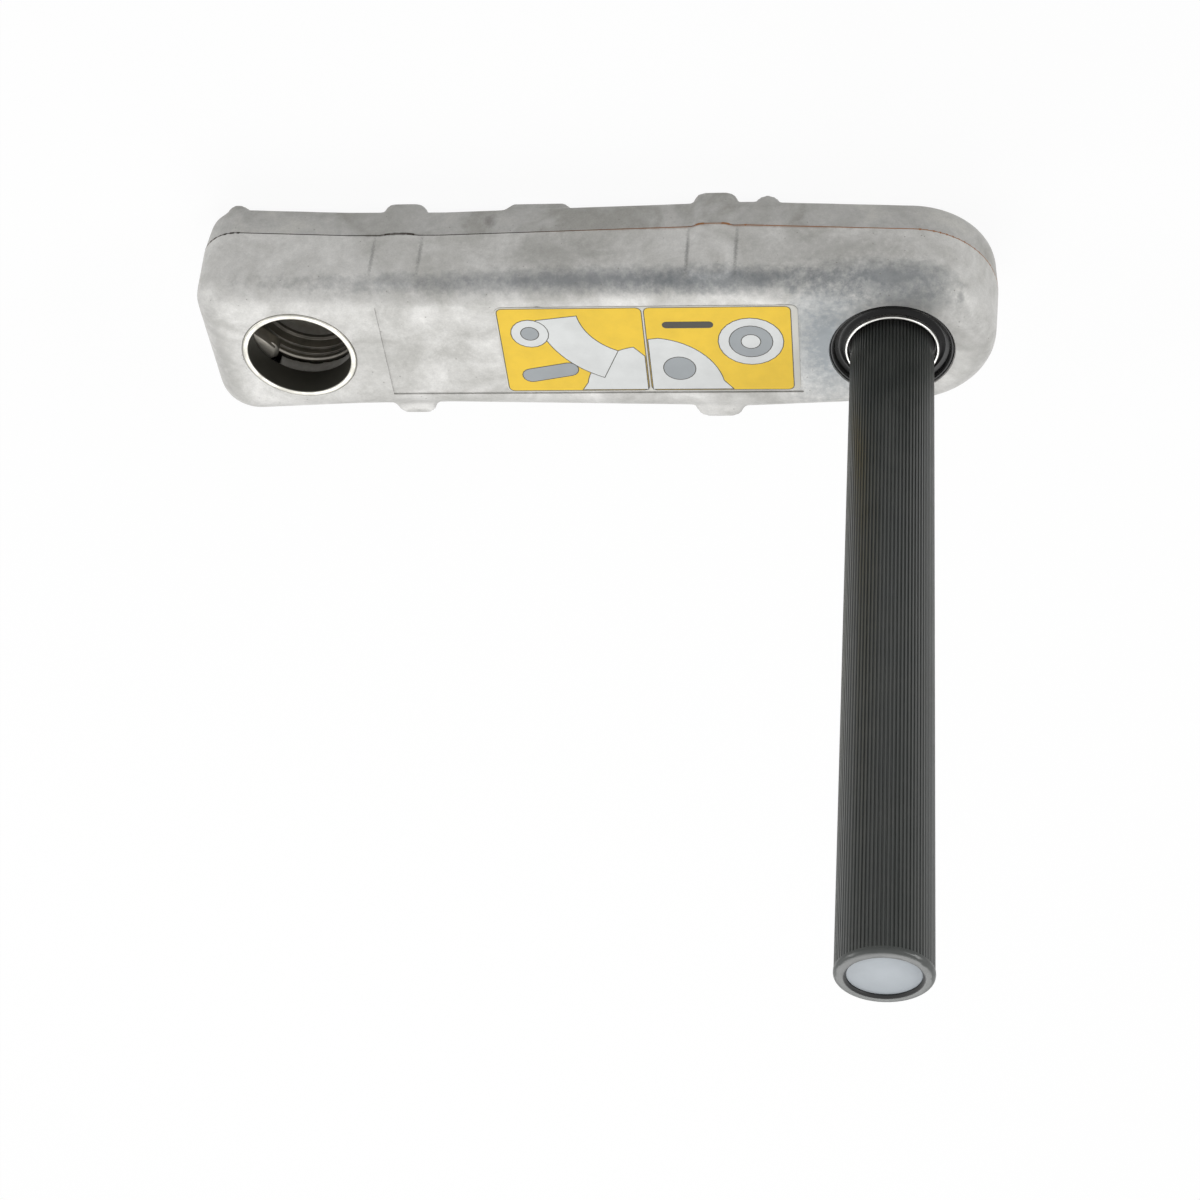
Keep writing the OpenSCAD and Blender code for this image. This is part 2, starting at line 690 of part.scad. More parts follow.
// Inner link: two plates pressed on two bushes
module inner_link(l) {
    for (z = [-inner_half - plate_t, inner_half]) translate([0, 0, z]) link_plate(l, rivet_r + slip);
    for (x = [0, l]) {
        translate([x, 0, -inner_half])
            difference() {
                cylinder(r = bush_r, h = 2 * inner_half);
                translate([0, 0, -1]) cylinder(r = rivet_r + slip, h = 2 * inner_half + 2);
            }
    }
}

// Outer link: two plates riveted on two pins
module outer_link(l) {
    for (z = [-outer_half - plate_t, outer_half]) translate([0, 0, z]) link_plate(l, 0);
    for (x = [0, l]) translate([x, 0, -rivet_half]) cylinder(r = rivet_r, h = 2 * rivet_half);
}

module drive_chain() {
    color([0.36, 0.35, 0.33])
        for (i = [0:links - 1]) {
            a = joint(i);
            d = joint((i + 1) % links) - a;
            translate([a[0], a[1], chain_z])
                rotate(atan2(d[1], d[0])) {
                    if (i % 2 == 0) inner_link(norm(d));
                    if (i % 2 == 1) outer_link(norm(d));
                }
        }
}

module grip_sprocket() {
    color([0.5, 0.5, 0.5])
        translate([arm_l, 0, 0])
            difference() {
                union() {
                    tooth_disc(grip_phase);
                    translate([0, 0, wheel_hub_z]) cylinder(r = wheel_hub_r, h = wheel_hub_top - wheel_hub_z);
                }
                translate([0, 0, wheel_hub_z - 1]) cylinder(r = tube_r, h = wheel_hub_top);
                translate([0, -key_w / 2, wheel_hub_z - 1]) cube([tube_r + key_out, key_w, wheel_hub_top]);
            }
}

module sprocket_key() {
    color([0.6, 0.6, 0.58])
        translate([arm_l + tube_r - key_in, -key_w / 2, wheel_hub_z])
            cube([key_in + key_out - 0.1, key_w, wheel_hub_top - wheel_hub_z]);
}

// Open spring ring between two radii, with a gap
module snap_ring(r_in, r_out, t, gap) {
    linear_extrude(t)
        difference() {
            circle(r_out);
            circle(r_in);
            polygon([[0, 0], [60 * cos(gap / 2), -60 * sin(gap / 2)], [60 * cos(gap / 2), 60 * sin(gap / 2)]]);
        }
}

module sprocket_circlip() {
    color([0.3, 0.3, 0.3])
        translate([arm_l, 0, wheel_circlip_z])
            rotate(90) snap_ring(tube_r - 0.8, tube_r + 1.9, wheel_circlip_t, 50);
}

module bearing_circlip() {
    color([0.3, 0.3, 0.3])
        translate([arm_l, 0, circlip_z]) rotate(180) snap_ring(bearing_r - 2.4, bearing_r + 1.2, bearing_circlip_t, 40);
}

module spacer_tube() {
    color([0.66, 0.66, 0.65])
        translate([arm_l, 0, wheel_hub_top])
            difference() {
                cylinder(r = spacer_r, h = bearing_z - wheel_hub_top);
                translate([0, 0, -1]) cylinder(r = tube_r, h = bearing_z);
            }
}

module thrust_washer() {
    color([0.72, 0.6, 0.38])
        translate([arm_l, 0, inner_z])
            difference() {
                cylinder(r = tube_r, h = washer_t);
                translate([0, 0, -1]) cylinder(r = post_r + slip, h = washer_t + 2);
            }
}

module grip_bush() {
    color([0.76, 0.62, 0.36])
        translate([arm_l, 0, bush_z])
            difference() {
                cylinder(r = tube_in_r, h = bush_l);
                translate([0, 0, -1]) cylinder(r = post_r + slip, h = bush_l + 2);
            }
}

module grip_tube() {
    color([0.68, 0.69, 0.7])
        translate([arm_l, 0, 0])
            difference() {
                translate([0, 0, tube_z]) cylinder(r = tube_r, h = tube_top - tube_z);
                translate([0, 0, tube_z - 1]) cylinder(r = tube_in_r, h = tube_top);
                translate([0, 0, wheel_circlip_z])
                    difference() {
                        cylinder(r = tube_r + 1, h = wheel_circlip_t);
                        translate([0, 0, -1]) cylinder(r = tube_r - 0.8, h = wheel_circlip_t + 2);
                    }
                translate([tube_r - key_in, -key_w / 2, wheel_hub_z])
                    cube([key_in + 1, key_w, wheel_hub_top - wheel_hub_z]);
            }
}

// Outline of the ribbed grip: each rib has a flat top and sloping sides
function rib_point(i, part) =
    let (a = 360 / ribs, r = part < 2 ? grip_r : grip_r - rib_depth, f = [0, 0.46, 0.6, 0.86][part])
    [r * cos(a * (i + f)), r * sin(a * (i + f))];

module grip_sleeve() {
    rib_top = grip_top - rim_round - 0.6;
    color([0.2, 0.215, 0.205])
        translate([arm_l, 0, 0])
            difference() {
                union() {
                    translate([0, 0, grip_z])
                        linear_extrude(rib_top - grip_z)
                            polygon([for (i = [0:ribs - 1]) for (k = [0:3]) rib_point(i, k)]);
                    translate([0, 0, rib_top - 0.5])
                        rotate_extrude()
                            polygon(concat([[0, 0], [grip_r - rib_depth, 0], [rim_r, 0.5]],
                                edge_points(rim_r, grip_top - rib_top + 0.5, rim_round),
                                [[0, grip_top - rib_top + 0.5]]));
                }
                translate([0, 0, grip_z - 1]) cylinder(r = tube_r, h = tube_top - grip_z + 1);
                translate([0, 0, tube_top - 1]) cylinder(r = plug_r, h = grip_top);
                translate([0, 0, grip_top - 0.7]) cylinder(r1 = plug_r, r2 = plug_r + 0.8, h = 0.8);
            }
}

module end_plug() {
    color([0.6, 0.63, 0.66])
        translate([arm_l, 0, 0])
            difference() {
                union() {
                    translate([0, 0, tube_top]) cylinder(r = plug_r, h = grip_top - plug_in - tube_top);
                    translate([0, 0, tube_top - plug_skirt_l]) cylinder(r = tube_in_r, h = plug_skirt_l);
                }
                translate([0, 0, tube_top - plug_skirt_l - 1]) cylinder(r = tube_in_r - 1.6, h = plug_skirt_l + 0.6);
            }
}

// Cross section of a bearing ring with its ball groove, from r_a to r_b
module race_profile(r_a, r_b) {
    difference() {
        translate([r_a, 0]) square([r_b - r_a, bearing_b]);
        translate([race_r, bearing_b / 2]) circle(ball_r + race_gap);
    }
}

module bearing_outer_ring() {
    color([0.74, 0.75, 0.76])
        translate([arm_l, 0, bearing_z])
            rotate_extrude() race_profile(race_r + shoulder, bearing_r);
}

module bearing_inner_ring() {
    color([0.74, 0.75, 0.76])
        translate([arm_l, 0, bearing_z])
            rotate_extrude() race_profile(tube_r, race_r - shoulder);
}

module bearing_balls() {
    color([0.8, 0.81, 0.82])
        for (i = [0:balls - 1]) {
            translate([arm_l, 0, bearing_z + bearing_b / 2]) rotate(i * 360 / balls) translate([race_r, 0, 0]) sphere(ball_r);
        }
}

module bearing_cage() {
    color([0.72, 0.6, 0.38])
        translate([arm_l, 0, bearing_z + bearing_b / 2])
            difference() {
                translate([0, 0, -cage_w / 2]) cylinder(r = race_r + cage_t / 2, h = cage_w);
                translate([0, 0, -cage_w / 2 - 1]) cylinder(r = race_r - cage_t / 2, h = cage_w + 2);
                for (i = [0:balls - 1]) {
                    rotate(i * 360 / balls)
                        translate([race_r - 2, 0, 0]) rotate([0, 90, 0]) cylinder(r = ball_r + 0.12, h = 4);
                }
            }
}

module bearing_shields() {
    color([0.12, 0.12, 0.12])
        for (z = [bearing_z + 0.2, bearing_z + bearing_b - 0.2 - shield_t]) {
            translate([arm_l, 0, z])
                difference() {
                    cylinder(r = race_r + shoulder, h = shield_t);
                    translate([0, 0, -1]) cylinder(r = race_r - shoulder + slip, h = shield_t + 2);
                }
        }
}

module seal_collar() {
    color([0.83, 0.83, 0.81])
        translate([arm_l, 0, 0])
            rotate_extrude()
                polygon([[tube_r, collar_z], [collar_r, collar_z], [collar_r, collar_top - 0.3],
                    [collar_r - 0.3, collar_top], [collar_r - lip_t + 0.2, collar_top],
                    [collar_r - lip_t, collar_top - 0.2], [collar_r - lip_t, collar_z + collar_base],
                    [tube_r, collar_z + collar_base]]);
}

module grip_seal() {
    color([0.1, 0.1, 0.1])
        translate([arm_l, 0, seal_z])
            rotate_extrude()
                polygon([[collar_r + slip, 1.5], [collar_r + 0.9, 0.6], [collar_r + 1, 0], [seal_r, 0],
                    [seal_r, seal_h - 0.3], [seal_r - 0.3, seal_h], [seal_r - 0.9, seal_h],
                    [seal_r - 1.3, seal_h - 0.5], [seal_r - 1.6, seal_h - 1.6], [seal_r - 3, seal_h - 2],
                    [collar_r + 1, seal_h - 1.5], [collar_r + slip, seal_h - 0.8]]);
}

module instruction_label() {
    color([0.93, 0.93, 0.9])
        translate([label_x - label_l / 2, label_y - label_w / 2, recess_z])
            linear_extrude(label_t)
                union() {
                    translate([label_corner, 0]) square([label_l - 2 * label_corner, label_w]);
                    translate([0, label_corner]) square([label_l, label_w - 2 * label_corner]);
                    for (x = [label_corner, label_l - label_corner]) {
                        for (y = [label_corner, label_w - label_corner]) translate([x, y]) circle(label_corner);
                    }
                }
}

front_housing();
rear_cover();
cover_gasket();
cover_screws();
dowel_pins();
hub_sleeve();
control_ring();
trip_ring();
pawl();
pawl_pin();
pawl_spring();
drive_chain();
grip_sprocket();
sprocket_key();
sprocket_circlip();
spacer_tube();
thrust_washer();
grip_bush();
grip_tube();
grip_sleeve();
end_plug();
bearing_outer_ring();
bearing_inner_ring();
bearing_balls();
bearing_cage();
bearing_shields();
bearing_circlip();
seal_collar();
grip_seal();
instruction_label();
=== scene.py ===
"""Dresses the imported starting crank.

Soft-edged castings, turned rings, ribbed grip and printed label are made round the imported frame, and then lit and
seen from where the photograph was taken.
"""

import math

import bpy
from mathutils import Matrix, Vector


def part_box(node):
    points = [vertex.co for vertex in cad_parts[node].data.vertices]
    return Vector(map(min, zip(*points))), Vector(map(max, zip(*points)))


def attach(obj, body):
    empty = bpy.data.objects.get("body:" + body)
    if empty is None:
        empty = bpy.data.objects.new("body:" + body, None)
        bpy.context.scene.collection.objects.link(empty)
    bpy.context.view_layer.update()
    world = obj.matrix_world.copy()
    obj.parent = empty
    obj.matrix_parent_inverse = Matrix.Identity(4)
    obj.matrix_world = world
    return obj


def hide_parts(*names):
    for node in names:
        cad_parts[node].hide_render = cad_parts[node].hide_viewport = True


bl_info = {
    "name": "Starting Crank Dresser",
    "version": (1, 0, 0),
    "blender": (4, 5, 0),
    "location": "View3D > Sidebar > Crank",
    "description": "Models and finishes the visible pieces of a die-cast starting crank",
    "category": "Object",
}

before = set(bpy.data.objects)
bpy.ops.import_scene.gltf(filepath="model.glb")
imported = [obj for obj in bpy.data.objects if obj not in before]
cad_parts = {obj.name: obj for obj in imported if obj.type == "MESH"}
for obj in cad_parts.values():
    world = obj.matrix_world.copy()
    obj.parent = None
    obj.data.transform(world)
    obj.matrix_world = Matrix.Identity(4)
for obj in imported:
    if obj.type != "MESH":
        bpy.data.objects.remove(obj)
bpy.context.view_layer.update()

MM = 0.001

# Width of the photograph in pixels, and of the camera's sensor in millimetres
PHOTO_SIZE = 1200
SENSOR_MM = 36

# Levels and radii, read from the frame
SEAM_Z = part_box("cover_gasket")[0].z
SHELL_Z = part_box("cover_gasket")[1].z
FACE_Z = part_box("front_housing")[1].z
SLEEVE_LOW, SLEEVE_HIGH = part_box("hub_sleeve")
SLEEVE_R = SLEEVE_HIGH.y
COLLAR_LOW, COLLAR_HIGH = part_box("seal_collar")
GRIP_X = (COLLAR_LOW.x + COLLAR_HIGH.x) / 2
COLLAR_R = COLLAR_HIGH.y
SEAL_LOW, SEAL_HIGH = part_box("grip_seal")
SEAL_R = SEAL_HIGH.y
BEARING_LOW, BEARING_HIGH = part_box("bearing_outer_ring")
BEARING_R = BEARING_HIGH.y
LABEL_LOW, LABEL_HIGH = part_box("instruction_label")
PLUG_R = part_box("end_plug")[1].y

# Width of the bright rims of the sleeve and of the collar, and the pawl's place along the arm
SLEEVE_WALL = 2 * MM
COLLAR_RIM = 1.1 * MM
PAWL_X = -0.02

# How far the tightened screws squeeze the sealing sheet out toward the edge of the seam
SQUEEZE = 0.0003

# Wall of the pawl's chamber, under the sleeve: its depth, its outer and inner radius, and where it opens
CHAMBER_DEPTH = 0.0052
CHAMBER_OUT_R = SLEEVE_R + 3 * MM
CHAMBER_IN_R = SLEEVE_R - 0.9 * MM
PAWL_WINDOW_X = -0.012

# A casting runs past its parting plane while it is rebuilt, and is cut back after it, so that the seam stays
# sharp. Bores and the label's recess are filled before the rebuild and cut again after it, for the same reason.
# SKIRT is that overrun, PLANE_GAP how near to a plane a face counts as on it, TOOL_REACH how far a boring tool
# stands out of the face, and CLEAR how far a parting tool stands out round the casting.
SKIRT = 4 * MM
PLANE_GAP = 0.1 * MM
TOOL_REACH = 3 * MM
CLEAR = 0.02

# Broken edges of the two bores in the face: height above and below it, and how much wider the bore gets
EDGE_RISE = 0.4 * MM
SLEEVE_EDGE = 0.7 * MM
SEAL_EDGE = 0.6 * MM

# Flat recess round the label: bare length on the socket's side, margin on the others, and depth under the label
RECESS_BARE = 39.9
RECESS_MARGIN = 0.8
RECESS_DEPTH = 0.4

# Depth of the plug's face under the grip's rim, read from the photograph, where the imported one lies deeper
PLUG_DEPTH = 0.001

# Thickness of one layer of the label's ink
INK_STEP = 0.000012

# Print of the label, in millimetres: width of the dark outlines, bare margin of the film at the grip's end, gap
# between the two fields and at their ends, border along their sides, and how far the shapes stay inside a field
OUTLINE = 0.3
LABEL_MARGIN = 1.6
FIELD_GAP = 0.5
FIELD_BORDER = 0.35
FIELD_INSET = 0.4

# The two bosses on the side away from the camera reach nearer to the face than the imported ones, in millimetres:
# place along the arm, half width, where the boss ends across the arm, and height of the upper end
FAR_BOSSES = [(36.0, 7.0, -31.4, 39.8), (141.5, 8.0, -32.8, 40.8)]
BOSS_CORNER = 4.5
BOSS_INNER_SIDE = -25
BOSS_ROOT_Z = SHELL_Z + 8 * MM

# Bosses on the long sides, beside which shade is painted: place along the arm, half width and height of the upper
# end, in millimetres
BOSS_STEPS = [(36.0, 8.0, 36.0), (141.5, 8.0, 38.5)]


def linear(colour_hex):
    """One sRGB hex colour as the linear red, green and blue that Blender's sockets hold."""
    parts = [int(colour_hex[i : i + 2], 16) / 255 for i in (1, 3, 5)]
    return tuple(p / 12.92 if p <= 0.04045 else ((p + 0.055) / 1.055) ** 2.4 for p in parts)


def per_mm(size):
    """Noise or wave scale that gives features of this size in millimetres on Object coordinates."""
    return 1 / (size * MM)


# Sizes and colours that a user would change


class CrankSizes(bpy.types.PropertyGroup):
    """Sizes that the dressing adds to the frame's own"""

    voxel: bpy.props.FloatProperty(
        name="Casting voxel",
        description="Grid on which the castings are rebuilt",
        default=0.00088,
        unit="LENGTH",
    )
    soften: bpy.props.IntProperty(
        name="Casting softness",
        description="Smoothing passes that round the castings' corners",
        default=4,
        min=0,
    )
    edge_break: bpy.props.FloatProperty(
        name="Machined edge break",
        description="Bevel on turned and milled edges",
        default=0.00018,
        unit="LENGTH",
    )
    rib_break: bpy.props.FloatProperty(
        name="Rib edge break",
        description="Bevel on the moulded ribs of the grip",
        default=0.00007,
        unit="LENGTH",
    )
    film_break: bpy.props.FloatProperty(
        name="Film edge break",
        description="Bevel on the edge of the label's film",
        default=0.00006,
        unit="LENGTH",
    )


class CrankColours(bpy.types.PropertyGroup):
    """Colours that the photograph gives"""

    casting: bpy.props.FloatVectorProperty(
        name="Casting",
        description="Clean as-cast aluminium",
        subtype="COLOR",
        default=linear("#c6c5c2"),
    )
    grip: bpy.props.FloatVectorProperty(
        name="Grip",
        description="Moulded grip",
        subtype="COLOR",
        default=linear("#262b28"),
    )
    plug: bpy.props.FloatVectorProperty(
        name="End plug",
        description="Moulded plug in the grip's end",
        subtype="COLOR",
        default=linear("#a9b0b6"),
    )
    label: bpy.props.FloatVectorProperty(
        name="Label field",
        description="Yellow fields of the label",
        subtype="COLOR",
        default=linear("#f5cd38"),
    )


# Mesh tools


def deselect():
    """Leave edit mode and deselect everything."""
    if bpy.context.object and bpy.context.object.mode != "OBJECT":
        bpy.ops.object.mode_set(mode="OBJECT")
    bpy.ops.object.select_all(action="DESELECT")


def activate(piece):
    """Make one piece the only selected one and the active one."""
    deselect()
    piece.select_set(True)
    bpy.context.view_layer.objects.active = piece


def settle(piece):
    """Move a piece's place, turn and scale into its mesh."""
    activate(piece)
    bpy.ops.object.transform_apply(location=True, rotation=True, scale=True)
    return piece


def copy_of(node, name):
    """Merged copy of a CAD node, free of the frame, with its flat faces whole again."""
    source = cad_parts[node]
    piece = source.copy()
    piece.data = source.data.copy()
    for key in [k for k in piece.keys() if k.startswith("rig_")]:
        del piece[key]
    piece.parent = None
    piece.matrix_world = Matrix.Identity(4)
    piece.name = piece.data.name = name
    bpy.context.scene.collection.objects.link(piece)
    activate(piece)
    bpy.ops.object.mode_set(mode="EDIT")
    bpy.ops.mesh.select_all(action="SELECT")
    bpy.ops.mesh.remove_doubles(threshold=2e-6)
    bpy.ops.object.mode_set(mode="OBJECT")
    return piece


def select_faces(piece, test):
    """Select the faces whose centre and normal pass a test, and nothing else."""
    activate(piece)
    bpy.ops.object.mode_set(mode="EDIT")
    bpy.ops.mesh.select_mode(type="FACE")
    bpy.ops.mesh.select_all(action="DESELECT")
    bpy.ops.object.mode_set(mode="OBJECT")
    for face in piece.data.polygons:
        face.select = test(face.center, face.normal)


def skirt(piece, test, depth):
    """Carry the faces on a casting's parting plane past it."""
    select_faces(piece, test)
    bpy.ops.object.mode_set(mode="EDIT")
    bpy.ops.mesh.extrude_region_move(TRANSFORM_OT_translate={"value": (0, 0, depth)})
    bpy.ops.object.mode_set(mode="OBJECT")


def tube(name, radius, low, high, centre=(0, 0), top_radius=None):
    """Solid round block, or cone, between two heights."""
    deselect()
    bpy.ops.mesh.primitive_cone_add(
        vertices=128,
        radius1=radius,
        radius2=radius if top_radius is None else top_radius,
        depth=high - low,
        location=(centre[0], centre[1], (low + high) / 2),
    )
    piece = bpy.context.object
    piece.name = name
    return settle(piece)


def block(name, low, high):
    """Solid block between two corners."""
    deselect()
    middle = [(a + b) / 2 for a, b in zip(low, high)]
    bpy.ops.mesh.primitive_cube_add(size=1, location=middle)
    piece = bpy.context.object
    piece.scale = [b - a for a, b in zip(low, high)]
    piece.name = name
    return settle(piece)


def edge_cone(name, radius, width, centre=(0, 0)):
    """Cone that breaks the edge of a bore in the face."""
    return tube(name, radius, FACE_Z - EDGE_RISE, FACE_Z + EDGE_RISE, centre, top_radius=radius + width)


def far_bosses():
    """Upper ends of the two far bosses, each made of two round corners and a block between them."""
    pieces = []
    for boss_x, half_width, side, top in FAR_BOSSES:
        half = half_width - BOSS_CORNER
        for place in (boss_x - half, boss_x + half):
            corner = (place * MM, (side + BOSS_CORNER) * MM)
            pieces.append(tube("far_boss", BOSS_CORNER * MM, BOSS_ROOT_Z, top * MM, corner))
        low_corner = ((boss_x - half) * MM, side * MM, BOSS_ROOT_Z)
        pieces.append(block("far_boss", low_corner, ((boss_x + half) * MM, BOSS_INNER_SIDE * MM, top * MM)))
    return pieces


def merge_in(piece, *others):
    """Join other meshes to a piece, without a boolean: the voxel rebuild makes them one."""
    activate(piece)
    for other in others:
        other.select_set(True)
    bpy.ops.object.join()


def cut_away(piece, *tools):
    """Cut closed tools out of a closed piece and remove them."""
    for tool in tools:
        activate(piece)
        cut = piece.modifiers.new("cut", "BOOLEAN")
        cut.operation = "DIFFERENCE"
        cut.solver = "MANIFOLD"
        cut.object = tool
        bpy.ops.object.modifier_apply(modifier=cut.name)
        bpy.data.objects.remove(tool)


def rebuild(piece, voxel, passes):
    """Rebuild a shape on a voxel grid and smooth it, so that its corners blend as a casting's do."""
    activate(piece)
    grid = piece.modifiers.new("grid", "REMESH")
    grid.mode = "VOXEL"
    grid.voxel_size = voxel
    bpy.ops.object.modifier_apply(modifier=grid.name)
    if passes:
        soft = piece.modifiers.new("soft", "SMOOTH")
        soft.factor = 0.5
        soft.iterations = passes
        bpy.ops.object.modifier_apply(modifier=soft.name)


def break_edges(piece, width, segments=2):
    """Round a machined piece's sharp edges a little and shade it smooth."""
    activate(piece)
    bpy.ops.object.mode_set(mode="EDIT")
    bpy.ops.mesh.select_all(action="SELECT")
    bpy.ops.mesh.dissolve_limited(angle_limit=math.radians(0.4))
    bpy.ops.object.mode_set(mode="OBJECT")
    bevel = piece.modifiers.new("edges", "BEVEL")
    bevel.width = width
    bevel.segments = segments
    bevel.limit_method = "ANGLE"
    bevel.angle_limit = math.radians(35)
    bpy.ops.object.modifier_apply(modifier=bevel.name)
    bpy.ops.object.shade_smooth_by_angle(angle=math.radians(40))


def paint(piece, material):
    """Give a piece one material."""
    piece.data.materials.clear()
    piece.data.materials.append(material)


def hand_over(piece, body, slot, *nodes):
    """Let a finished piece ride on its body and stand for its CAD nodes."""
    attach(piece, body)
    if nodes:
        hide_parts(*nodes)


# Materials


def add_node(tree, kind, settings=None, links=None):
    """Add a shader node.

    Settings go to its properties or its input sockets, and links come from other nodes' outputs.
    """
    node = tree.nodes.new(kind)
    for key, value in (settings or {}).items():
        if isinstance(key, str) and hasattr(node, key) and key not in node.inputs:
            setattr(node, key, value)
        else:
            node.inputs[key].default_value = value
    for key, source in (links or {}).items():
        tree.links.new(source, node.inputs[key])
    return node


def new_material(name):
    """New node material with its Principled shader."""
    material = bpy.data.materials.new(name)
    material.use_nodes = True
    return material, material.node_tree, material.node_tree.nodes["Principled BSDF"]


def rgba(colour):
    """Linear colour with its alpha."""
    return (*colour[:3], 1)


def spot_mask(tree, place, centre, radii, ragged):
    """Soft-edged spot round a place on the piece, in millimetres, with a ragged outline.

    The distance from the centre, in radii, is stirred by noise that averages 0.5, and the spot fades out over it.
    """
    offset = {"operation": "SUBTRACT", 1: [c * MM for c in centre]}
    shift = add_node(tree, "ShaderNodeVectorMath", offset, {0: place})
    squash = {"operation": "MULTIPLY", 1: [per_mm(r) for r in radii]}
    scaled = add_node(tree, "ShaderNodeVectorMath", squash, {0: shift.outputs["Vector"]})
    away = add_node(tree, "ShaderNodeVectorMath", {"operation": "LENGTH"}, {0: scaled.outputs["Vector"]})
    stir = {"operation": "MULTIPLY_ADD", 1: 1.1}
    edge = add_node(tree, "ShaderNodeMath", stir, {0: ragged, 2: away.outputs["Value"]})
    fade = {"From Min": 1.55, "From Max": 0.75, "To Min": 0, "To Max": 1}
    return add_node(tree, "ShaderNodeMapRange", fade, {"Value": edge.outputs[0]}).outputs["Result"]


def layered(tree, under, over, share):
    """One colour laid over another by a share between 0 and 1."""
    sockets = {"Factor": share, "A": under}
    settings = {"data_type": "RGBA", "B": rgba(over)}
    return add_node(tree, "ShaderNodeMix", settings, sockets).outputs["Result"]


# Stains on the castings, with painted shade and dark reflection: (centre and radii in millimetres, strength,
# colour)
STAINS_AND_PAINTED_SHADE = [
    # Oil and rust-brown dirt along the seam, and a smudge on the cover's side
    ((37.0, 31.6, 16.3), (8, 4, 0.9), 0.9, "#2c241d"),
    ((28.0, 31.6, 16.6), (12, 3, 0.7), 0.6, "#3a3129"),
    ((-26.0, 27.0, 16.4), (6, 5, 1.0), 0.7, "#5c3c30"),
    ((66.0, 31.0, 10.0), (3, 3, 4), 0.45, "#55504a"),
    ((150.0, 33.0, 16.6), (70, 3, 0.9), 0.55, "#7c5a41"),
    # Painted dark reflection, blue-grey, along the rounded edge of the face, and painted shade round the grip
    ((95.0, 30.5, 38.0), (110, 5.5, 6), 0.66, "#6a6f74"),
    ((150.0, 29.5, 38.5), (45, 6, 5), 0.45, "#5a6268"),
    ((205.0, 23.0, 41.5), (24, 7, 4), 0.4, "#6d757b"),
    ((179.0, 4.0, 42.0), (18, 36, 4), 0.9, "#858b8f"),
    ((200.0, 29.5, 37.0), (36, 9, 9), 0.62, "#5f676d"),
    # Darker grey patches on the face, and painted shade on the side
    ((-26.0, 2.0, 42.0), (8, 30, 4), 0.5, "#a3a29e"),
    ((29.0, -6.0, 42.0), (17, 26, 4), 0.35, "#a3a29e"),
    ((224.0, -4.0, 42.0), (15, 24, 6), 0.4, "#a3a29e"),
    ((90.0, 31.5, 26.0), (26, 5, 9), 0.35, "#84837e"),
    ((180.0, 31.0, 26.0), (34, 6, 10), 0.35, "#84837e"),
    # Small dents and spots filled with dirt
    ((222.0, 22.0, 39.0), (1.6, 3.2, 2.4), 0.6, "#3f4447"),
    ((206.0, -22.0, 42.0), (1.6, 1.2, 1), 0.6, "#504b45"),
    ((36.0, -31.0, 38.0), (5, 3, 5), 0.5, "#6b6964"),
    ((84.0, 21.6, 41.6), (1.4, 0.8, 1), 0.75, "#4a443c"),
]


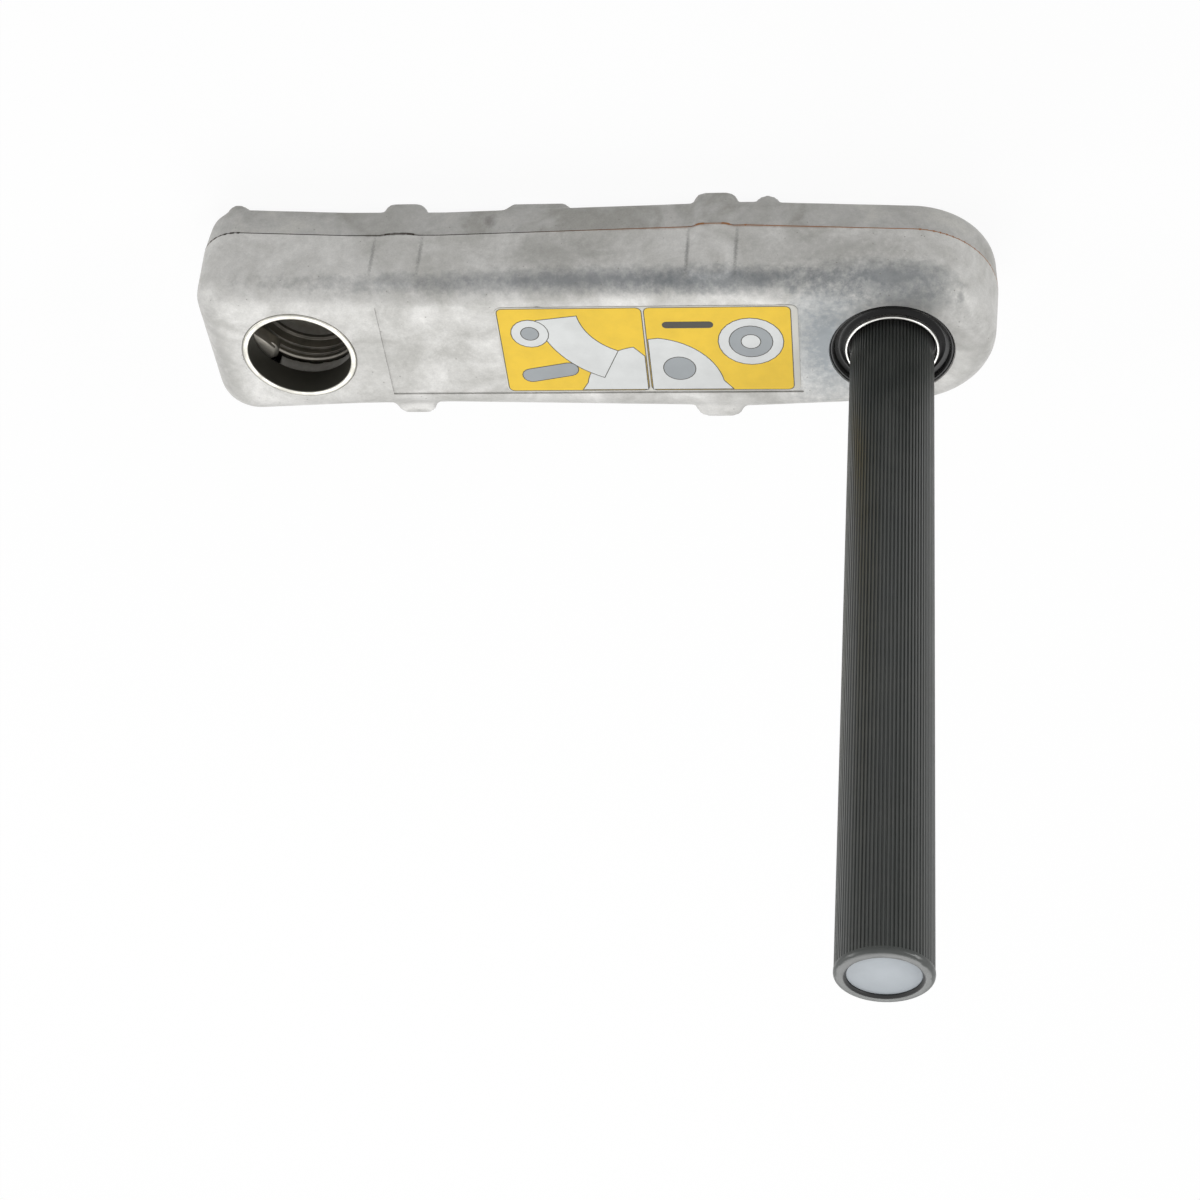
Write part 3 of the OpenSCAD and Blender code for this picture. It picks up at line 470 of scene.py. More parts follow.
def cast_aluminium(name, clean, dull, pale, inside):
    """Die-cast aluminium, as cast.

    It gives the eye a dull, warm grey skin, mottled by the melt's flow, with a sandy grain, pin holes and old
    dirt, with painted shade in the creases beside the bosses and on the side, and a painted dark reflection along
    the face's rounded edge. The skin is oxide over metal, so it is only partly metallic. The two other colours are
    those of its duller and paler clouds, and the last one, if any, is the oil on the socket's floor.
    """
    material, tree, shader = new_material(name)
    place = add_node(tree, "ShaderNodeTexCoord").outputs["Object"]
    # Slow cloudy mottling from the melt's flow, about 20 mm across
    flow = add_node(
        tree,
        "ShaderNodeTexNoise",
        {"Scale": per_mm(22), "Detail": 5.0, "Roughness": 0.6, "Distortion": 0.9},
        {"Vector": place},
    ).outputs["Fac"]
    # Blotches and scuffs of 2 to 3 mm
    fine = add_node(
        tree, "ShaderNodeTexNoise", {"Scale": per_mm(2.6), "Detail": 6.0, "Roughness": 0.7}, {"Vector": place}
    ).outputs["Fac"]
    # Sandy skin of the die, drawn at 0.55 mm because its real grain would be finer than a pixel
    grain = add_node(
        tree, "ShaderNodeTexNoise", {"Scale": per_mm(0.55), "Detail": 3.0, "Roughness": 0.6}, {"Vector": place}
    ).outputs["Fac"]
    # Pin holes, a few millimetres apart
    pits = add_node(
        tree, "ShaderNodeTexVoronoi", {"Scale": per_mm(4.2), "Randomness": 1.0}, {"Vector": place}
    ).outputs["Distance"]
    hole = {"From Min": 0.07, "From Max": 0.04, "To Min": 0, "To Max": 0.7}
    pit_mask = add_node(tree, "ShaderNodeMapRange", hole, {"Value": pits}).outputs["Result"]

    ramp = add_node(tree, "ShaderNodeValToRGB", links={"Fac": flow})
    ramp.color_ramp.elements[0].position = 0.36
    ramp.color_ramp.elements[0].color = rgba(dull)
    ramp.color_ramp.elements[1].position = 0.54
    ramp.color_ramp.elements[1].color = rgba(clean)
    ramp.color_ramp.elements.new(0.68).color = rgba(pale)
    colour = ramp.outputs["Color"]
    # The scuffs and then the grain lighten and darken the colour by a few parts in a hundred
    for pattern, span in ((fine, (0.36, 0.66, 0.92, 1.04)), (grain, (0.3, 0.7, 0.93, 1.06))):
        limits = dict(zip(("From Min", "From Max", "To Min", "To Max"), span))
        share = add_node(tree, "ShaderNodeMapRange", limits, {"Value": pattern}).outputs["Result"]
        tinted = add_node(tree, "ShaderNodeVectorMath", {"operation": "SCALE"}, {0: colour, "Scale": share})
        colour = tinted.outputs["Vector"]
    # Stains and dirt, and the painted shade and dark reflection that lie among them
    for centre, radii, strength, stain_and_shade_colour in STAINS_AND_PAINTED_SHADE:
        mask = spot_mask(tree, place, centre, radii, fine)
        share = add_node(tree, "ShaderNodeMath", {"operation": "MULTIPLY", 1: strength}, {0: mask}).outputs[0]
        colour = layered(tree, colour, linear(stain_and_shade_colour), share)
    # Painted shade that darkens the narrow steps beside the bosses on both long sides
    for boss_x, half, top in BOSS_STEPS:
        for edge in (-half, half):
            for side in (-1, 1):
                centre = (boss_x + edge, side * 32, (SEAM_Z / MM + top) / 2)
                mask = spot_mask(tree, place, centre, (0.9, 5, (top - SEAM_Z / MM) / 1.7), grain)
                share = add_node(tree, "ShaderNodeMath", {"operation": "MULTIPLY", 1: 0.6}, {0: mask}).outputs[0]
                colour = layered(tree, colour, linear("#6b6b69"), share)
    if inside:
        # Old oil on the machined floor of the socket
        pan = spot_mask(tree, place, (0, 0, SLEEVE_LOW.z / MM - 15), (22, 22, 9), fine)
        colour = layered(tree, colour, linear(inside), pan)
    colour = layered(tree, colour, linear("#7d7a75"), pit_mask)
    tree.links.new(colour, shader.inputs["Base Color"])

    # Clean clouds shine a little more than dull ones
    shine = {"From Min": 0.35, "From Max": 0.7, "To Min": 0.66, "To Max": 0.5}
    roughness = add_node(tree, "ShaderNodeMapRange", shine, {"Value": flow}).outputs["Result"]
    tree.links.new(roughness, shader.inputs["Roughness"])
    shader.inputs["Metallic"].default_value = 0.3

    height = add_node(tree, "ShaderNodeMath", {"operation": "MULTIPLY_ADD", 1: 0.35}, {0: grain, 2: fine})
    dented = {0: pit_mask, 2: height.outputs[0]}
    sunk = add_node(tree, "ShaderNodeMath", {"operation": "MULTIPLY_ADD", 1: -0.8}, dented).outputs[0]
    bump = add_node(tree, "ShaderNodeBump", {"Strength": 0.5, "Distance": 0.0002}, {"Height": sunk})
    tree.links.new(bump.outputs["Normal"], shader.inputs["Normal"])
    return material


def turned_steel(name, colour, centre, roughness):
    """Turned, ground or drawn metal with fine tool marks round the axis at one place along the arm.

    It gives the eye a bright surface with a soft streak round the ring, duller and darker where old oil lies.
    """
    material, tree, shader = new_material(name)
    place = add_node(tree, "ShaderNodeTexCoord").outputs["Object"]
    shift = add_node(tree, "ShaderNodeVectorMath", {"operation": "SUBTRACT", 1: (centre, 0, 0)}, {0: place})
    apart = add_node(tree, "ShaderNodeSeparateXYZ", links={"Vector": shift.outputs["Vector"]})
    across = {"X": apart.outputs["X"], "Y": apart.outputs["Y"]}
    flat = add_node(tree, "ShaderNodeCombineXYZ", {"Z": 0}, across)
    radius = add_node(tree, "ShaderNodeVectorMath", {"operation": "LENGTH"}, {0: flat.outputs["Vector"]})
    turned = {"X": radius.outputs["Value"], "Z": apart.outputs["Z"]}
    rings = add_node(tree, "ShaderNodeCombineXYZ", {"Y": 0}, turned)
    # Tool marks, drawn 0.35 mm apart because the real ones, about 0.1 mm apart, would be finer than a pixel
    marks = add_node(
        tree, "ShaderNodeTexNoise", {"Scale": per_mm(0.35), "Detail": 2.0}, {"Vector": rings.outputs["Vector"]}
    ).outputs["Fac"]
    # Oil and finger marks, about 7 mm across
    smear = add_node(
        tree, "ShaderNodeTexNoise", {"Scale": per_mm(7), "Detail": 4.0, "Roughness": 0.6}, {"Vector": place}
    ).outputs["Fac"]
    worn = add_node(tree, "ShaderNodeValToRGB", links={"Fac": smear})
    worn.color_ramp.elements[0].position = 0.35
    worn.color_ramp.elements[0].color = rgba([c * 0.72 for c in colour])
    worn.color_ramp.elements[1].position = 0.62
    worn.color_ramp.elements[1].color = rgba(colour)
    tree.links.new(worn.outputs["Color"], shader.inputs["Base Color"])
    shader.inputs["Metallic"].default_value = 1.0
    shine = add_node(
        tree,
        "ShaderNodeMapRange",
        {"From Min": 0.3, "From Max": 0.7, "To Min": roughness + 0.12, "To Max": roughness - 0.05},
        {"Value": smear},
    ).outputs["Result"]
    tree.links.new(shine, shader.inputs["Roughness"])
    bump = add_node(tree, "ShaderNodeBump", {"Strength": 0.35, "Distance": 0.00004}, {"Height": marks})
    tree.links.new(bump.outputs["Normal"], shader.inputs["Normal"])
    return material


def darker_inside(material, radius, centre, colour):
    """Darken a round piece inside a radius and leave its rim bright.

    In the collar and in the grip's well the dark is painted shade. It ends 0.1 to 0.3 mm outside the radius. Where
    it covers a metal, the surface is a metal no more.
    """
    tree = material.node_tree
    shader = tree.nodes["Principled BSDF"]
    place = add_node(tree, "ShaderNodeTexCoord").outputs["Object"]
    shift = add_node(tree, "ShaderNodeVectorMath", {"operation": "SUBTRACT", 1: (centre, 0, 0)}, {0: place})
    level = {"operation": "MULTIPLY", 1: (1, 1, 0)}
    flat = add_node(tree, "ShaderNodeVectorMath", level, {0: shift.outputs["Vector"]})
    away = add_node(tree, "ShaderNodeVectorMath", {"operation": "LENGTH"}, {0: flat.outputs["Vector"]})
    inside = add_node(
        tree,
        "ShaderNodeMapRange",
        {"From Min": radius + 0.3 * MM, "From Max": radius + 0.1 * MM, "To Min": 0, "To Max": 1},
        {"Value": away.outputs["Value"]},
    ).outputs["Result"]
    bright = shader.inputs["Base Color"].links[0].from_socket
    tree.links.new(layered(tree, bright, colour, inside), shader.inputs["Base Color"])
    if shader.inputs["Metallic"].default_value > 0.5:
        bare = {"operation": "MULTIPLY_ADD", 1: -0.8, 2: 1.0}
        metal = add_node(tree, "ShaderNodeMath", bare, {0: inside})
        tree.links.new(metal.outputs[0], shader.inputs["Metallic"])


def moulded(name, colour, roughness, grain_mm, bump_depth, dust=0.1, dust_colour="#8c8a84"):
    """Moulded rubber or plastic, or pressed fibre.

    It gives the eye an even colour with a fine grain, and clouds of dust or wear that grey it and take its shine.
    """
    material, tree, shader = new_material(name)
    place = add_node(tree, "ShaderNodeTexCoord").outputs["Object"]
    grain = add_node(
        tree, "ShaderNodeTexNoise", {"Scale": per_mm(grain_mm), "Detail": 3.0}, {"Vector": place}
    ).outputs["Fac"]
    # Clouds of dust and hand wear, about 13 mm across
    cloud = add_node(
        tree, "ShaderNodeTexNoise", {"Scale": per_mm(13), "Detail": 6.0, "Roughness": 0.65}, {"Vector": place}
    ).outputs["Fac"]
    thin = {"From Min": 0.42, "From Max": 0.75, "To Min": 0, "To Max": dust}
    dusty = add_node(tree, "ShaderNodeMapRange", thin, {"Value": cloud}).outputs["Result"]
    mixed = add_node(
        tree,
        "ShaderNodeMix",
        {"data_type": "RGBA", "A": rgba(colour), "B": rgba(linear(dust_colour))},
        {"Factor": dusty},
    ).outputs["Result"]
    tree.links.new(mixed, shader.inputs["Base Color"])
    shine = add_node(
        tree,
        "ShaderNodeMapRange",
        {"From Min": 0.35, "From Max": 0.7, "To Min": roughness - 0.06, "To Max": roughness + 0.08},
        {"Value": cloud},
    ).outputs["Result"]
    tree.links.new(shine, shader.inputs["Roughness"])
    bump = add_node(tree, "ShaderNodeBump", {"Strength": 0.3, "Distance": bump_depth}, {"Height": grain})
    tree.links.new(bump.outputs["Normal"], shader.inputs["Normal"])
    return material


def blend_along(material, axis, low, high, colour):
    """Lay a colour over a material below one place along an axis, which fades out up to another."""
    tree = material.node_tree
    shader = tree.nodes["Principled BSDF"]
    place = add_node(tree, "ShaderNodeTexCoord").outputs["Object"]
    apart = add_node(tree, "ShaderNodeSeparateXYZ", links={"Vector": place})
    share = add_node(
        tree,
        "ShaderNodeMapRange",
        {"From Min": low, "From Max": high, "To Min": 1, "To Max": 0},
        {"Value": apart.outputs[axis]},
    ).outputs["Result"]
    under = shader.inputs["Base Color"].links[0].from_socket
    tree.links.new(layered(tree, under, colour, share), shader.inputs["Base Color"])


def printed(name, colour):
    """Screen-printed vinyl film.

    It gives the eye flat, even ink with a slight wear and a soft gloss from the clear film over it.
    """
    material, tree, shader = new_material(name)
    place = add_node(tree, "ShaderNodeTexCoord").outputs["Object"]
    # Worn places, about 9 mm across
    wear = add_node(
        tree, "ShaderNodeTexNoise", {"Scale": per_mm(9), "Detail": 5.0, "Roughness": 0.6}, {"Vector": place}
    ).outputs["Fac"]
    ink = add_node(tree, "ShaderNodeValToRGB", links={"Fac": wear})
    ink.color_ramp.elements[0].position = 0.3
    ink.color_ramp.elements[0].color = rgba([c * 0.9 for c in colour])
    ink.color_ramp.elements[1].position = 0.6
    ink.color_ramp.elements[1].color = rgba(colour)
    tree.links.new(ink.outputs["Color"], shader.inputs["Base Color"])
    shader.inputs["Roughness"].default_value = 0.6
    shader.inputs["Specular IOR Level"].default_value = 0.3
    shader.inputs["Coat Weight"].default_value = 0.05
    shader.inputs["Coat Roughness"].default_value = 0.25
    return material


# Pieces


class CastHousing(bpy.types.Operator):
    """Rebuilds the front housing as a soft-edged casting, then bores, mills and parts it"""

    bl_idname = "crank.cast_housing"
    bl_label = "Cast housing"

    def execute(self, context):
        sizes = context.scene.crank_sizes
        piece = copy_of("front_housing", "housing_casting")
        skirt(piece, lambda at, normal: normal.z < -0.9 and at.z < SHELL_Z + PLANE_GAP, -SKIRT)
        wall = tube("pawl_chamber", CHAMBER_OUT_R, SLEEVE_LOW.z - CHAMBER_DEPTH, SLEEVE_LOW.z + 0.5 * MM)
        reach = CHAMBER_OUT_R + 1 * MM
        window_low = (-reach, -reach, SLEEVE_LOW.z - 2 * CHAMBER_DEPTH)
        window_high = (PAWL_WINDOW_X, reach, SLEEVE_LOW.z + 2 * CHAMBER_DEPTH)
        cut_away(
            wall,
            tube("chamber_bore", CHAMBER_IN_R, SLEEVE_LOW.z - 2 * CHAMBER_DEPTH, FACE_Z),
            block("pawl_window", window_low, window_high),
        )
        recess_low = LABEL_LOW - Vector((RECESS_BARE, RECESS_MARGIN, RECESS_DEPTH)) * MM
        recess_high = LABEL_HIGH + Vector((RECESS_MARGIN, RECESS_MARGIN, 0)) * MM
        merge_in(
            piece,
            wall,
            *far_bosses(),
            tube("hub_fill", SLEEVE_R + 2 * MM, SLEEVE_LOW.z + 0.2 * MM, FACE_Z),
            tube("grip_fill", BEARING_R + 1.2 * MM, BEARING_LOW.z - 3 * MM, FACE_Z, (GRIP_X, 0)),
            block("label_fill", recess_low, (recess_high.x, recess_high.y, FACE_Z - 0.02 * MM)),
        )
        rebuild(piece, sizes.voxel, sizes.soften)
        low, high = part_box("front_housing")
        below = ((low.x - CLEAR, low.y - CLEAR, SHELL_Z - CLEAR), (high.x + CLEAR, high.y + CLEAR, SHELL_Z))
        recess = ((recess_low.x, recess_low.y, LABEL_LOW.z), (recess_high.x, recess_high.y, FACE_Z + TOOL_REACH))
        cut_away(
            piece,
            block("parting", *below),
            tube("sleeve_bore", SLEEVE_R, SLEEVE_LOW.z, FACE_Z + TOOL_REACH),
            edge_cone("sleeve_edge", SLEEVE_R, SLEEVE_EDGE),
            tube("bearing_bore", BEARING_R, BEARING_LOW.z - 6 * MM, SEAL_LOW.z, (GRIP_X, 0)),
            tube("seal_bore", SEAL_R, SEAL_LOW.z - 0.2 * MM, FACE_Z + TOOL_REACH, (GRIP_X, 0)),
            edge_cone("seal_edge", SEAL_R, SEAL_EDGE, (GRIP_X, 0)),
            block("label_pocket", *recess),
        )
        activate(piece)
        bpy.ops.object.shade_smooth_by_angle(angle=math.radians(35))
        # Blasted and handled face: the paler of the two castings
        clean = context.scene.crank_colours.casting
        paint(piece, cast_aluminium("die_cast_aluminium_face", clean, linear("#b6b5b1"), linear("#cfcecb"), None))
        hand_over(piece, "arm", "cast_face", "front_housing")
        return {"FINISHED"}


class CastCover(bpy.types.Operator):
    """Rebuilds the rear cover as a soft-edged casting with its feet, then parts it at the seam"""

    bl_idname = "crank.cast_cover"
    bl_label = "Cast rear cover"

    def execute(self, context):
        sizes = context.scene.crank_sizes
        piece = copy_of("rear_cover", "cover_casting")
        skirt(piece, lambda at, normal: normal.z > 0.9 and abs(at.z - SEAM_Z) < PLANE_GAP, SKIRT)
        rebuild(piece, sizes.voxel, sizes.soften)
        low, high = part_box("rear_cover")
        above = ((low.x - CLEAR, low.y - CLEAR, SEAM_Z), (high.x + CLEAR, high.y + CLEAR, SEAM_Z + 3 * SKIRT))
        cut_away(piece, block("parting", *above))
        activate(piece)
        bpy.ops.object.shade_smooth_by_angle(angle=math.radians(35))
        # The cover lies on the floor and is greyer than the face, with old oil on the floor of the socket
        clean = [c * 0.79 for c in context.scene.crank_colours.casting]
        dull, pale = linear("#a09f9a"), linear("#bbbab5")
        paint(piece, cast_aluminium("die_cast_aluminium_cover", clean, dull, pale, "#8e8678"))
        hand_over(piece, "arm", "cast_back", "rear_cover")
        return {"FINISHED"}


class TurnRings(bpy.types.Operator):
    """Finishes the turned steel that shows: the sleeve, the seal's collar, the socket's ring and the pawl"""

    bl_idname = "crank.turn_rings"
    bl_label = "Turn rings"

    def execute(self, context):
        # Pressed sleeve: a pale, dull-bright rim round a dark bore
        bright = turned_steel("turned_steel_sleeve", linear("#c2c0b8"), 0, 0.42)
        darker_inside(bright, SLEEVE_R - SLEEVE_WALL, 0, linear("#33322c"))
        # Polished collar: one sharp white ring, with painted shade dark inside it
        collar = turned_steel("turned_steel_collar", linear("#f0efea"), GRIP_X, 0.3)
        darker_inside(collar, COLLAR_R - COLLAR_RIM, GRIP_X, linear("#1d1b18"))
        # Control ring under the sleeve: brown-grey with a wet gleam on each step
        oiled = turned_steel("oiled_steel_socket", linear("#918d85"), 0, 0.36)
        # Ground pawl: plain grey, a little duller than the rings
        ground = turned_steel("ground_steel_pawl", linear("#a8a49b"), PAWL_X, 0.45)
        for node, body, slot, material in (
            ("hub_sleeve", "arm", "machined_steel", bright),
            ("seal_collar", "grip", "machined_steel", collar),
            ("control_ring", "ring", "oiled_steel", oiled),
            ("pawl", "pawl_body", "ground_steel", ground),
        ):
            piece = copy_of(node, node + "_turned")
            break_edges(piece, context.scene.crank_sizes.edge_break)
            paint(piece, material)
            hand_over(piece, body, slot, node)
        return {"FINISHED"}


class MouldRubber(bpy.types.Operator):
    """Finishes the black seal in the face and the sealing sheet in the seam"""

    bl_idname = "crank.mould_rubber"
    bl_label = "Mould rubber"

    def execute(self, context):
        seal = copy_of("grip_seal", "seal_lip")
        break_edges(seal, context.scene.crank_sizes.edge_break)
        # Oiled nitrile rubber: deep black with narrow gleams
        nitrile = moulded("nitrile_rubber_seal", linear("#050506"), 0.27, 0.5, 0.00001, 0.03)
        nitrile.node_tree.nodes["Principled BSDF"].inputs["Specular IOR Level"].default_value = 0.25
        paint(seal, nitrile)
        hand_over(seal, "arm", "black_rubber", "grip_seal")
        sheet = copy_of("cover_gasket", "sealing_sheet")
        activate(sheet)
        bpy.ops.object.mode_set(mode="EDIT")
        bpy.ops.mesh.select_all(action="SELECT")
        bpy.ops.mesh.normals_make_consistent(inside=False)
        bpy.ops.transform.shrink_fatten(value=SQUEEZE)
        bpy.ops.object.mode_set(mode="OBJECT")
        # Pressed fibre: a matt, rust-brown line in the seam
        fibre = moulded("pressed_fibre_sheet", linear("#96663f"), 0.8, 0.6, 0.00005, 0.25, "#2c2119")
        # The sheet is darker toward the socket's end
        blend_along(fibre, "X", 0.075, 0.13, linear("#2b231c"))
        paint(sheet, fibre)
        hand_over(sheet, "arm", "sealing_sheet", "cover_gasket")
        return {"FINISHED"}


class MouldGrip(bpy.types.Operator):
    """Finishes the ribbed grip sleeve and the plug in its end"""

    bl_idname = "crank.mould_grip"
    bl_label = "Mould grip"

    def execute(self, context):
        sizes = context.scene.crank_sizes
        colours = context.scene.crank_colours
        sleeve = copy_of("grip_sleeve", "ribbed_grip")
        break_edges(sleeve, sizes.rib_break, segments=1)
        # Moulded nylon: near black with a faint green, soft shine on the ribs' crests
        nylon = moulded("moulded_nylon_grip", colours.grip, 0.36, 0.7, 0.00003, 0.1)
        # Painted shade darkens the grip's root at the seal, and a painted grey reflection lightens its end
        blend_along(nylon, "Z", FACE_Z + 0.8 * MM, FACE_Z + 2.6 * MM, linear("#100f0c"))
        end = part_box("grip_sleeve")[1].z
        blend_along(nylon, "Z", end - 0.6 * MM, end - 1.8 * MM, linear("#4d504e"))
        # Painted shade blackens the well round the plug
        darker_inside(nylon, PLUG_R + 0.6 * MM, GRIP_X, linear("#0e0f10"))
        # Fine scuffs on the crests lighten the grip toward its two edges
        shader = nylon.node_tree.nodes["Principled BSDF"]
        shader.inputs["Sheen Weight"].default_value = 0.12
        shader.inputs["Sheen Roughness"].default_value = 0.4
        paint(sleeve, nylon)
        hand_over(sleeve, "grip", "dark_grip", "grip_sleeve")
        plug = copy_of("end_plug", "grip_end_plug")
        plug_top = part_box("end_plug")[1].z
        select_faces(plug, lambda at, normal: normal.z > 0.9 and at.z > plug_top - PLANE_GAP)
        rise = end - PLUG_DEPTH - plug_top
        bpy.ops.object.mode_set(mode="EDIT")
        bpy.ops.transform.translate(value=(0, 0, rise))
        bpy.ops.object.mode_set(mode="OBJECT")
        break_edges(plug, sizes.edge_break)
        # Moulded polyethylene: a soft, waxy, cool grey
        paint(plug, moulded("moulded_polyethylene_plug", colours.plug, 0.5, 0.9, 0.00003, 0.15))
        hand_over(plug, "grip", "grey_plug", "end_plug")
        return {"FINISHED"}


def print_shape(points, level, centre, outline=0.0):
    """Flat printed shape on the label, and its thin dark outline: points in millimetres round a centre."""
    deselect()
    bpy.ops.mesh.primitive_circle_add(vertices=len(points), radius=1, fill_type="NGON")
    fill = bpy.context.object
    for vertex, point in zip(fill.data.vertices, points):
        vertex.co = ((centre[0] + point[0]) * MM, (centre[1] + point[1]) * MM, LABEL_HIGH.z + level * INK_STEP)
    bpy.ops.object.mode_set(mode="EDIT")
    bpy.ops.mesh.select_all(action="SELECT")
    bpy.ops.mesh.normals_make_consistent(inside=False)
    rim = None
    if outline:
        bpy.ops.mesh.inset(thickness=outline * MM)
        bpy.ops.mesh.select_all(action="INVERT")
        bpy.ops.mesh.separate(type="SELECTED")
        rim = next(piece for piece in bpy.context.selected_objects if piece != fill)
    bpy.ops.object.mode_set(mode="OBJECT")
    for piece in (fill, rim):
        if piece:
            activate(piece)
            bpy.ops.object.mode_set(mode="EDIT")
            bpy.ops.mesh.select_all(action="SELECT")
            bpy.ops.mesh.extrude_region_move(TRANSFORM_OT_translate={"value": (0, 0, -INK_STEP * (level + 1))})
            bpy.ops.mesh.select_all(action="SELECT")
            bpy.ops.mesh.normals_make_consistent(inside=False)
            bpy.ops.object.mode_set(mode="OBJECT")
    return fill, rim


def arc(centre, radius, start, end, steps):
    """Points along an arc, in degrees and millimetres."""
    turns = [math.radians(start + (end - start) * k / steps) for k in range(steps + 1)]
    return [(centre[0] + radius * math.cos(t), centre[1] + radius * math.sin(t)) for t in turns]


def bar(centre, length, width, turn):
    """Points of a bar with round ends, turned by an angle in degrees."""
    reach = (length - width) / 2
    along = (math.cos(math.radians(turn)) * reach, math.sin(math.radians(turn)) * reach)
    ends = ((centre[0] + along[0], centre[1] + along[1]), (centre[0] - along[0], centre[1] - along[1]))
    return arc(ends[0], width / 2, turn - 90, turn + 90, 8) + arc(ends[1], width / 2, turn + 90, turn + 270, 8)


def panel(half_l, half_w, corner):
    """Points of one yellow field with small round corners."""
    places = ((half_l - corner, half_w - corner, 0), (corner - half_l, half_w - corner, 90))
    places += ((corner - half_l, corner - half_w, 180), (half_l - corner, corner - half_w, 270))
    return [point for x, y, turn in places for point in arc((x, y), corner, turn, turn + 90, 4)]


class PrintLabel(bpy.types.Operator):
    """Makes the glossy label: a film with two yellow fields and plain pale and grey shapes"""

    bl_idname = "crank.print_label"
    bl_label = "Print label"

    def execute(self, context):
        colours = context.scene.crank_colours
        plate = copy_of("instruction_label", "label_plate")
        break_edges(plate, context.scene.crank_sizes.film_break)
        paint(plate, printed("label_film_pale", linear("#dcdad2")))
        hand_over(plate, "arm", "label_print", "instruction_label")
        middle = (LABEL_LOW + LABEL_HIGH) / 2 / MM
        size = (LABEL_HIGH - LABEL_LOW) / MM
        half_l = (size.x - LABEL_MARGIN - FIELD_GAP) / 4 - FIELD_GAP / 2
        half_w = size.y / 2 - FIELD_BORDER
        left = (middle.x - LABEL_MARGIN / 2 - half_l - FIELD_GAP / 2, middle.y)
        right = (middle.x - LABEL_MARGIN / 2 + half_l + FIELD_GAP / 2, middle.y)
        top, side = half_w - FIELD_INSET, half_l - FIELD_INSET
        sweep = arc((side, top), side * 1.5, 188, 246, 14) + arc((side, top), side * 0.9, 246, 188, 14)
        fan = [(side, -top), (side, -3)] + arc((side, -top), 21, 100, 170, 14) + [(1, -top)]
        quarter = [(-side, -top), (4, -top)] + arc((-side, -top), 25, 10, 82, 14) + [(-side, 5)]
        # Each shape is (ink, layer, field, points, width of its dark outline)
        shapes = [
            ("yellow", 1, left, panel(half_l, half_w, 2.0), OUTLINE),
            ("yellow", 1, right, panel(half_l, half_w, 2.0), OUTLINE),
            ("pale", 2, left, fan, OUTLINE),
            ("pale", 3, left, sweep, OUTLINE),
            ("grey", 4, left, bar((-9, -10.5), 20, 6.5, 12), OUTLINE),
            ("pale", 4, left, arc((-14, 8), 6.5, 0, 342, 19), OUTLINE),
            ("grey", 5, left, arc((-14, 8), 3.2, 0, 342, 19), OUTLINE),
            ("pale", 2, right, quarter, OUTLINE),
            ("grey", 3, right, arc((-14, -9), 5.6, 0, 345, 23), OUTLINE),
            ("pale", 3, right, arc((10.5, 3.5), 11.0, 0, 345, 23), OUTLINE),
            ("grey", 4, right, arc((10.5, 3.5), 7.4, 0, 345, 23), OUTLINE),
            ("pale", 5, right, arc((10.5, 3.5), 3.4, 0, 342, 19), OUTLINE),
            ("dark", 5, right, bar((-10, 11.5), 17, 3.0, 0), 0.0),
        ]
        inks = {"yellow": [], "dark": [], "pale": [], "grey": []}
        for ink, level, centre, points, outline in shapes:
            fill, rim = print_shape(points, level, centre, outline)
            inks[ink].append(fill)
            if rim:
                inks["dark"].append(rim)
        shades = {
            "yellow": colours.label,
            "dark": linear("#45433d"),
            "pale": linear("#e2e4e3"),
            "grey": linear("#a3a8ab"),
        }
        for ink, parts in inks.items():
            merge_in(parts[0], *parts[1:])
            parts[0].name = "label_ink_" + ink
            paint(parts[0], printed("label_ink_" + ink, shades[ink]))
            hand_over(parts[0], "arm", "label_print")
        return {"FINISHED"}


class FinishInside(bpy.types.Operator):
    """Gives the pieces inside the arm, which keep their CAD shapes, their finishes"""

    bl_idname = "crank.finish_inside"
    bl_label = "Finish inside"

    def execute(self, context):
        # Ground bearing steel: bright, cool and nearly a mirror
        ground = turned_steel("ground_bearing_steel", linear("#b9bbbc"), GRIP_X, 0.22)
        # Zinc plate: even, pale and satin
        drawn = turned_steel("zinc_plated_steel", linear("#a8a9a6"), GRIP_X, 0.34)
        # Oiled chain steel: dark brown-grey
        chain = turned_steel("oiled_chain_steel", linear("#6a6762"), GRIP_X, 0.4)
        # Spring steel, blackened by its heat treatment
        spring = turned_steel("spring_steel", linear("#5c5d5f"), 0, 0.34)
        # Sintered bronze: warm yellow-brown and dull
        bronze = turned_steel("sintered_bronze", linear("#b08d57"), GRIP_X, 0.4)
        # Rubber on the bearing's shields: matt black
        rubber = moulded("nitrile_rubber_shield", linear("#1a1a1a"), 0.5, 0.5, 0.00002)
        for material, names in (
            (ground, ("bearing_outer_ring", "bearing_inner_ring", "bearing_balls")),
            (ground, ("dowel_pins", "pawl_pin", "sprocket_key")),
            (drawn, ("grip_tube", "spacer_tube", "cover_screws")),
            (chain, ("drive_chain", "grip_sprocket")),
            (spring, ("trip_ring", "pawl_spring", "sprocket_circlip", "bearing_circlip")),
            (bronze, ("thrust_washer", "grip_bush", "bearing_cage")),
            (rubber, ("bearing_shields",)),
        ):
            for name in names:
                paint(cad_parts[name], material)
        return {"FINISHED"}


# Stage


def soft_lamp(name, at, target, size, power):
    """Square softbox that faces a target: metres and watts."""
    deselect()
    bpy.ops.object.light_add(type="AREA", location=at)
    lamp = bpy.context.object
    lamp.name = name
    lamp.data.shape = "SQUARE"
    lamp.data.size = size
    lamp.data.energy = power
    lamp.rotation_euler = (Vector(target) - Vector(at)).to_track_quat("-Z", "Y").to_euler()


